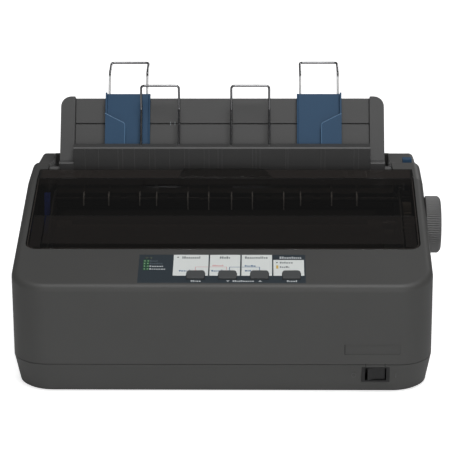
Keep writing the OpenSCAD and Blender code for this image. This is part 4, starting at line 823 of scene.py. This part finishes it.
# White floor: only the camera sees its glow, so it looks white and keeps the printer's shadow
FLOOR_HALF = 6.0
floor = new_object("floor", [[-FLOOR_HALF, -FLOOR_HALF, 0], [FLOOR_HALF, -FLOOR_HALF, 0],
                             [FLOOR_HALF, FLOOR_HALF, 0], [-FLOOR_HALF, FLOOR_HALF, 0]], [[0, 1, 2, 3]])
floor_material, floor_tree, _ = new_material("white paper floor")
seen = add_node(floor_tree, "ShaderNodeLightPath")
paper = add_node(floor_tree, "ShaderNodeBsdfDiffuse", {"Color": linear("f4f4f4")})
glow = add_node(floor_tree, "ShaderNodeEmission", {"Color": linear("ffffff"), "Strength": 0.8})
glowing = add_node(floor_tree, "ShaderNodeAddShader", {0: paper.outputs[0], 1: glow.outputs[0]})
shown = add_node(floor_tree, "ShaderNodeMixShader", {
    0: seen.outputs["Is Camera Ray"], 1: paper.outputs[0], 2: glowing.outputs[0]})
close_material(floor_tree, shown.outputs[0])
floor.data.materials.append(floor_material)

# The camera sees white behind the printer, and the printer is lit by a dim grey room
world = bpy.data.worlds.new("studio")
bpy.context.scene.world = world
world.use_nodes = True
sky = world.node_tree
sky.nodes.clear()
ray = add_node(sky, "ShaderNodeLightPath")
white = add_node(sky, "ShaderNodeBackground", {"Color": linear("ffffff"), "Strength": 1.0})
room = add_node(sky, "ShaderNodeBackground", {"Color": linear("e6e6e6"), "Strength": 0.1})
view_mix = add_node(sky, "ShaderNodeMixShader", {
    0: ray.outputs["Is Camera Ray"], 1: room.outputs[0], 2: white.outputs[0]})
add_node(sky, "ShaderNodeOutputWorld", {"Surface": view_mix.outputs[0]})


def look_along(direction):
    """Rotation whose -Z axis points along a direction, with X level."""
    d = np.array(direction, float) / np.linalg.norm(direction)
    right = np.cross(d, [0, 0, 1])
    right /= np.linalg.norm(right)
    up = np.cross(right, d)
    return Matrix(np.stack([right, up, -d], 1).tolist()).to_4x4()


def lamp(name, at, aim, size, power):
    """A square soft box, its side in metres and its power in watts, at a place in metres that
    faces another place."""
    data = bpy.data.lights.new(name, "AREA")
    data.size = size
    data.energy = power
    made = bpy.data.objects.new(name, data)
    bpy.context.scene.collection.objects.link(made)
    made.matrix_world = Matrix.Translation(at) @ look_along(np.subtract(aim, at))


# Lights the deck and everything that faces up
lamp("top soft box", at=(0.25, -0.62, 2.5), aim=(0, 0, 0.1), size=1.3, power=36)
# Draws the edges at the rear; it stands aside, where neither the cover nor the slope behind the
# rim mirrors it
lamp("rear soft box", at=(0.9, 2.4, 0.95), aim=(0, 0, 0.05), size=0.5, power=4)
# Lights the front face and the front of the guide
lamp("front soft box", at=(0.35, -2.6, 0.66), aim=(0, 0, 0.1), size=1.1, power=11.8)

# The camera, fitted to the photograph: place in metres, turn, dip and roll in degrees, lens in mm
CAMERA_AT = (0.038234, -1.76145, 0.742266)
CAMERA_TURN, CAMERA_DIP, CAMERA_ROLL = 1.205, 20.239, -0.363
CAMERA_LENS = 176.94
camera = bpy.data.objects.new("camera", bpy.data.cameras.new("camera"))
bpy.context.scene.collection.objects.link(camera)
camera.data.lens = CAMERA_LENS
camera.data.sensor_width = 36
camera.data.clip_start = 0.05
camera.matrix_world = (
    Matrix.Translation(CAMERA_AT)
    @ Matrix.Rotation(math.radians(CAMERA_TURN), 4, "Z")
    @ Matrix.Rotation(math.radians(90 - CAMERA_DIP), 4, "X")
    @ Matrix.Rotation(math.radians(CAMERA_ROLL), 4, "Z")
)
bpy.context.scene.camera = camera
bpy.context.scene.view_settings.view_transform = "Standard"
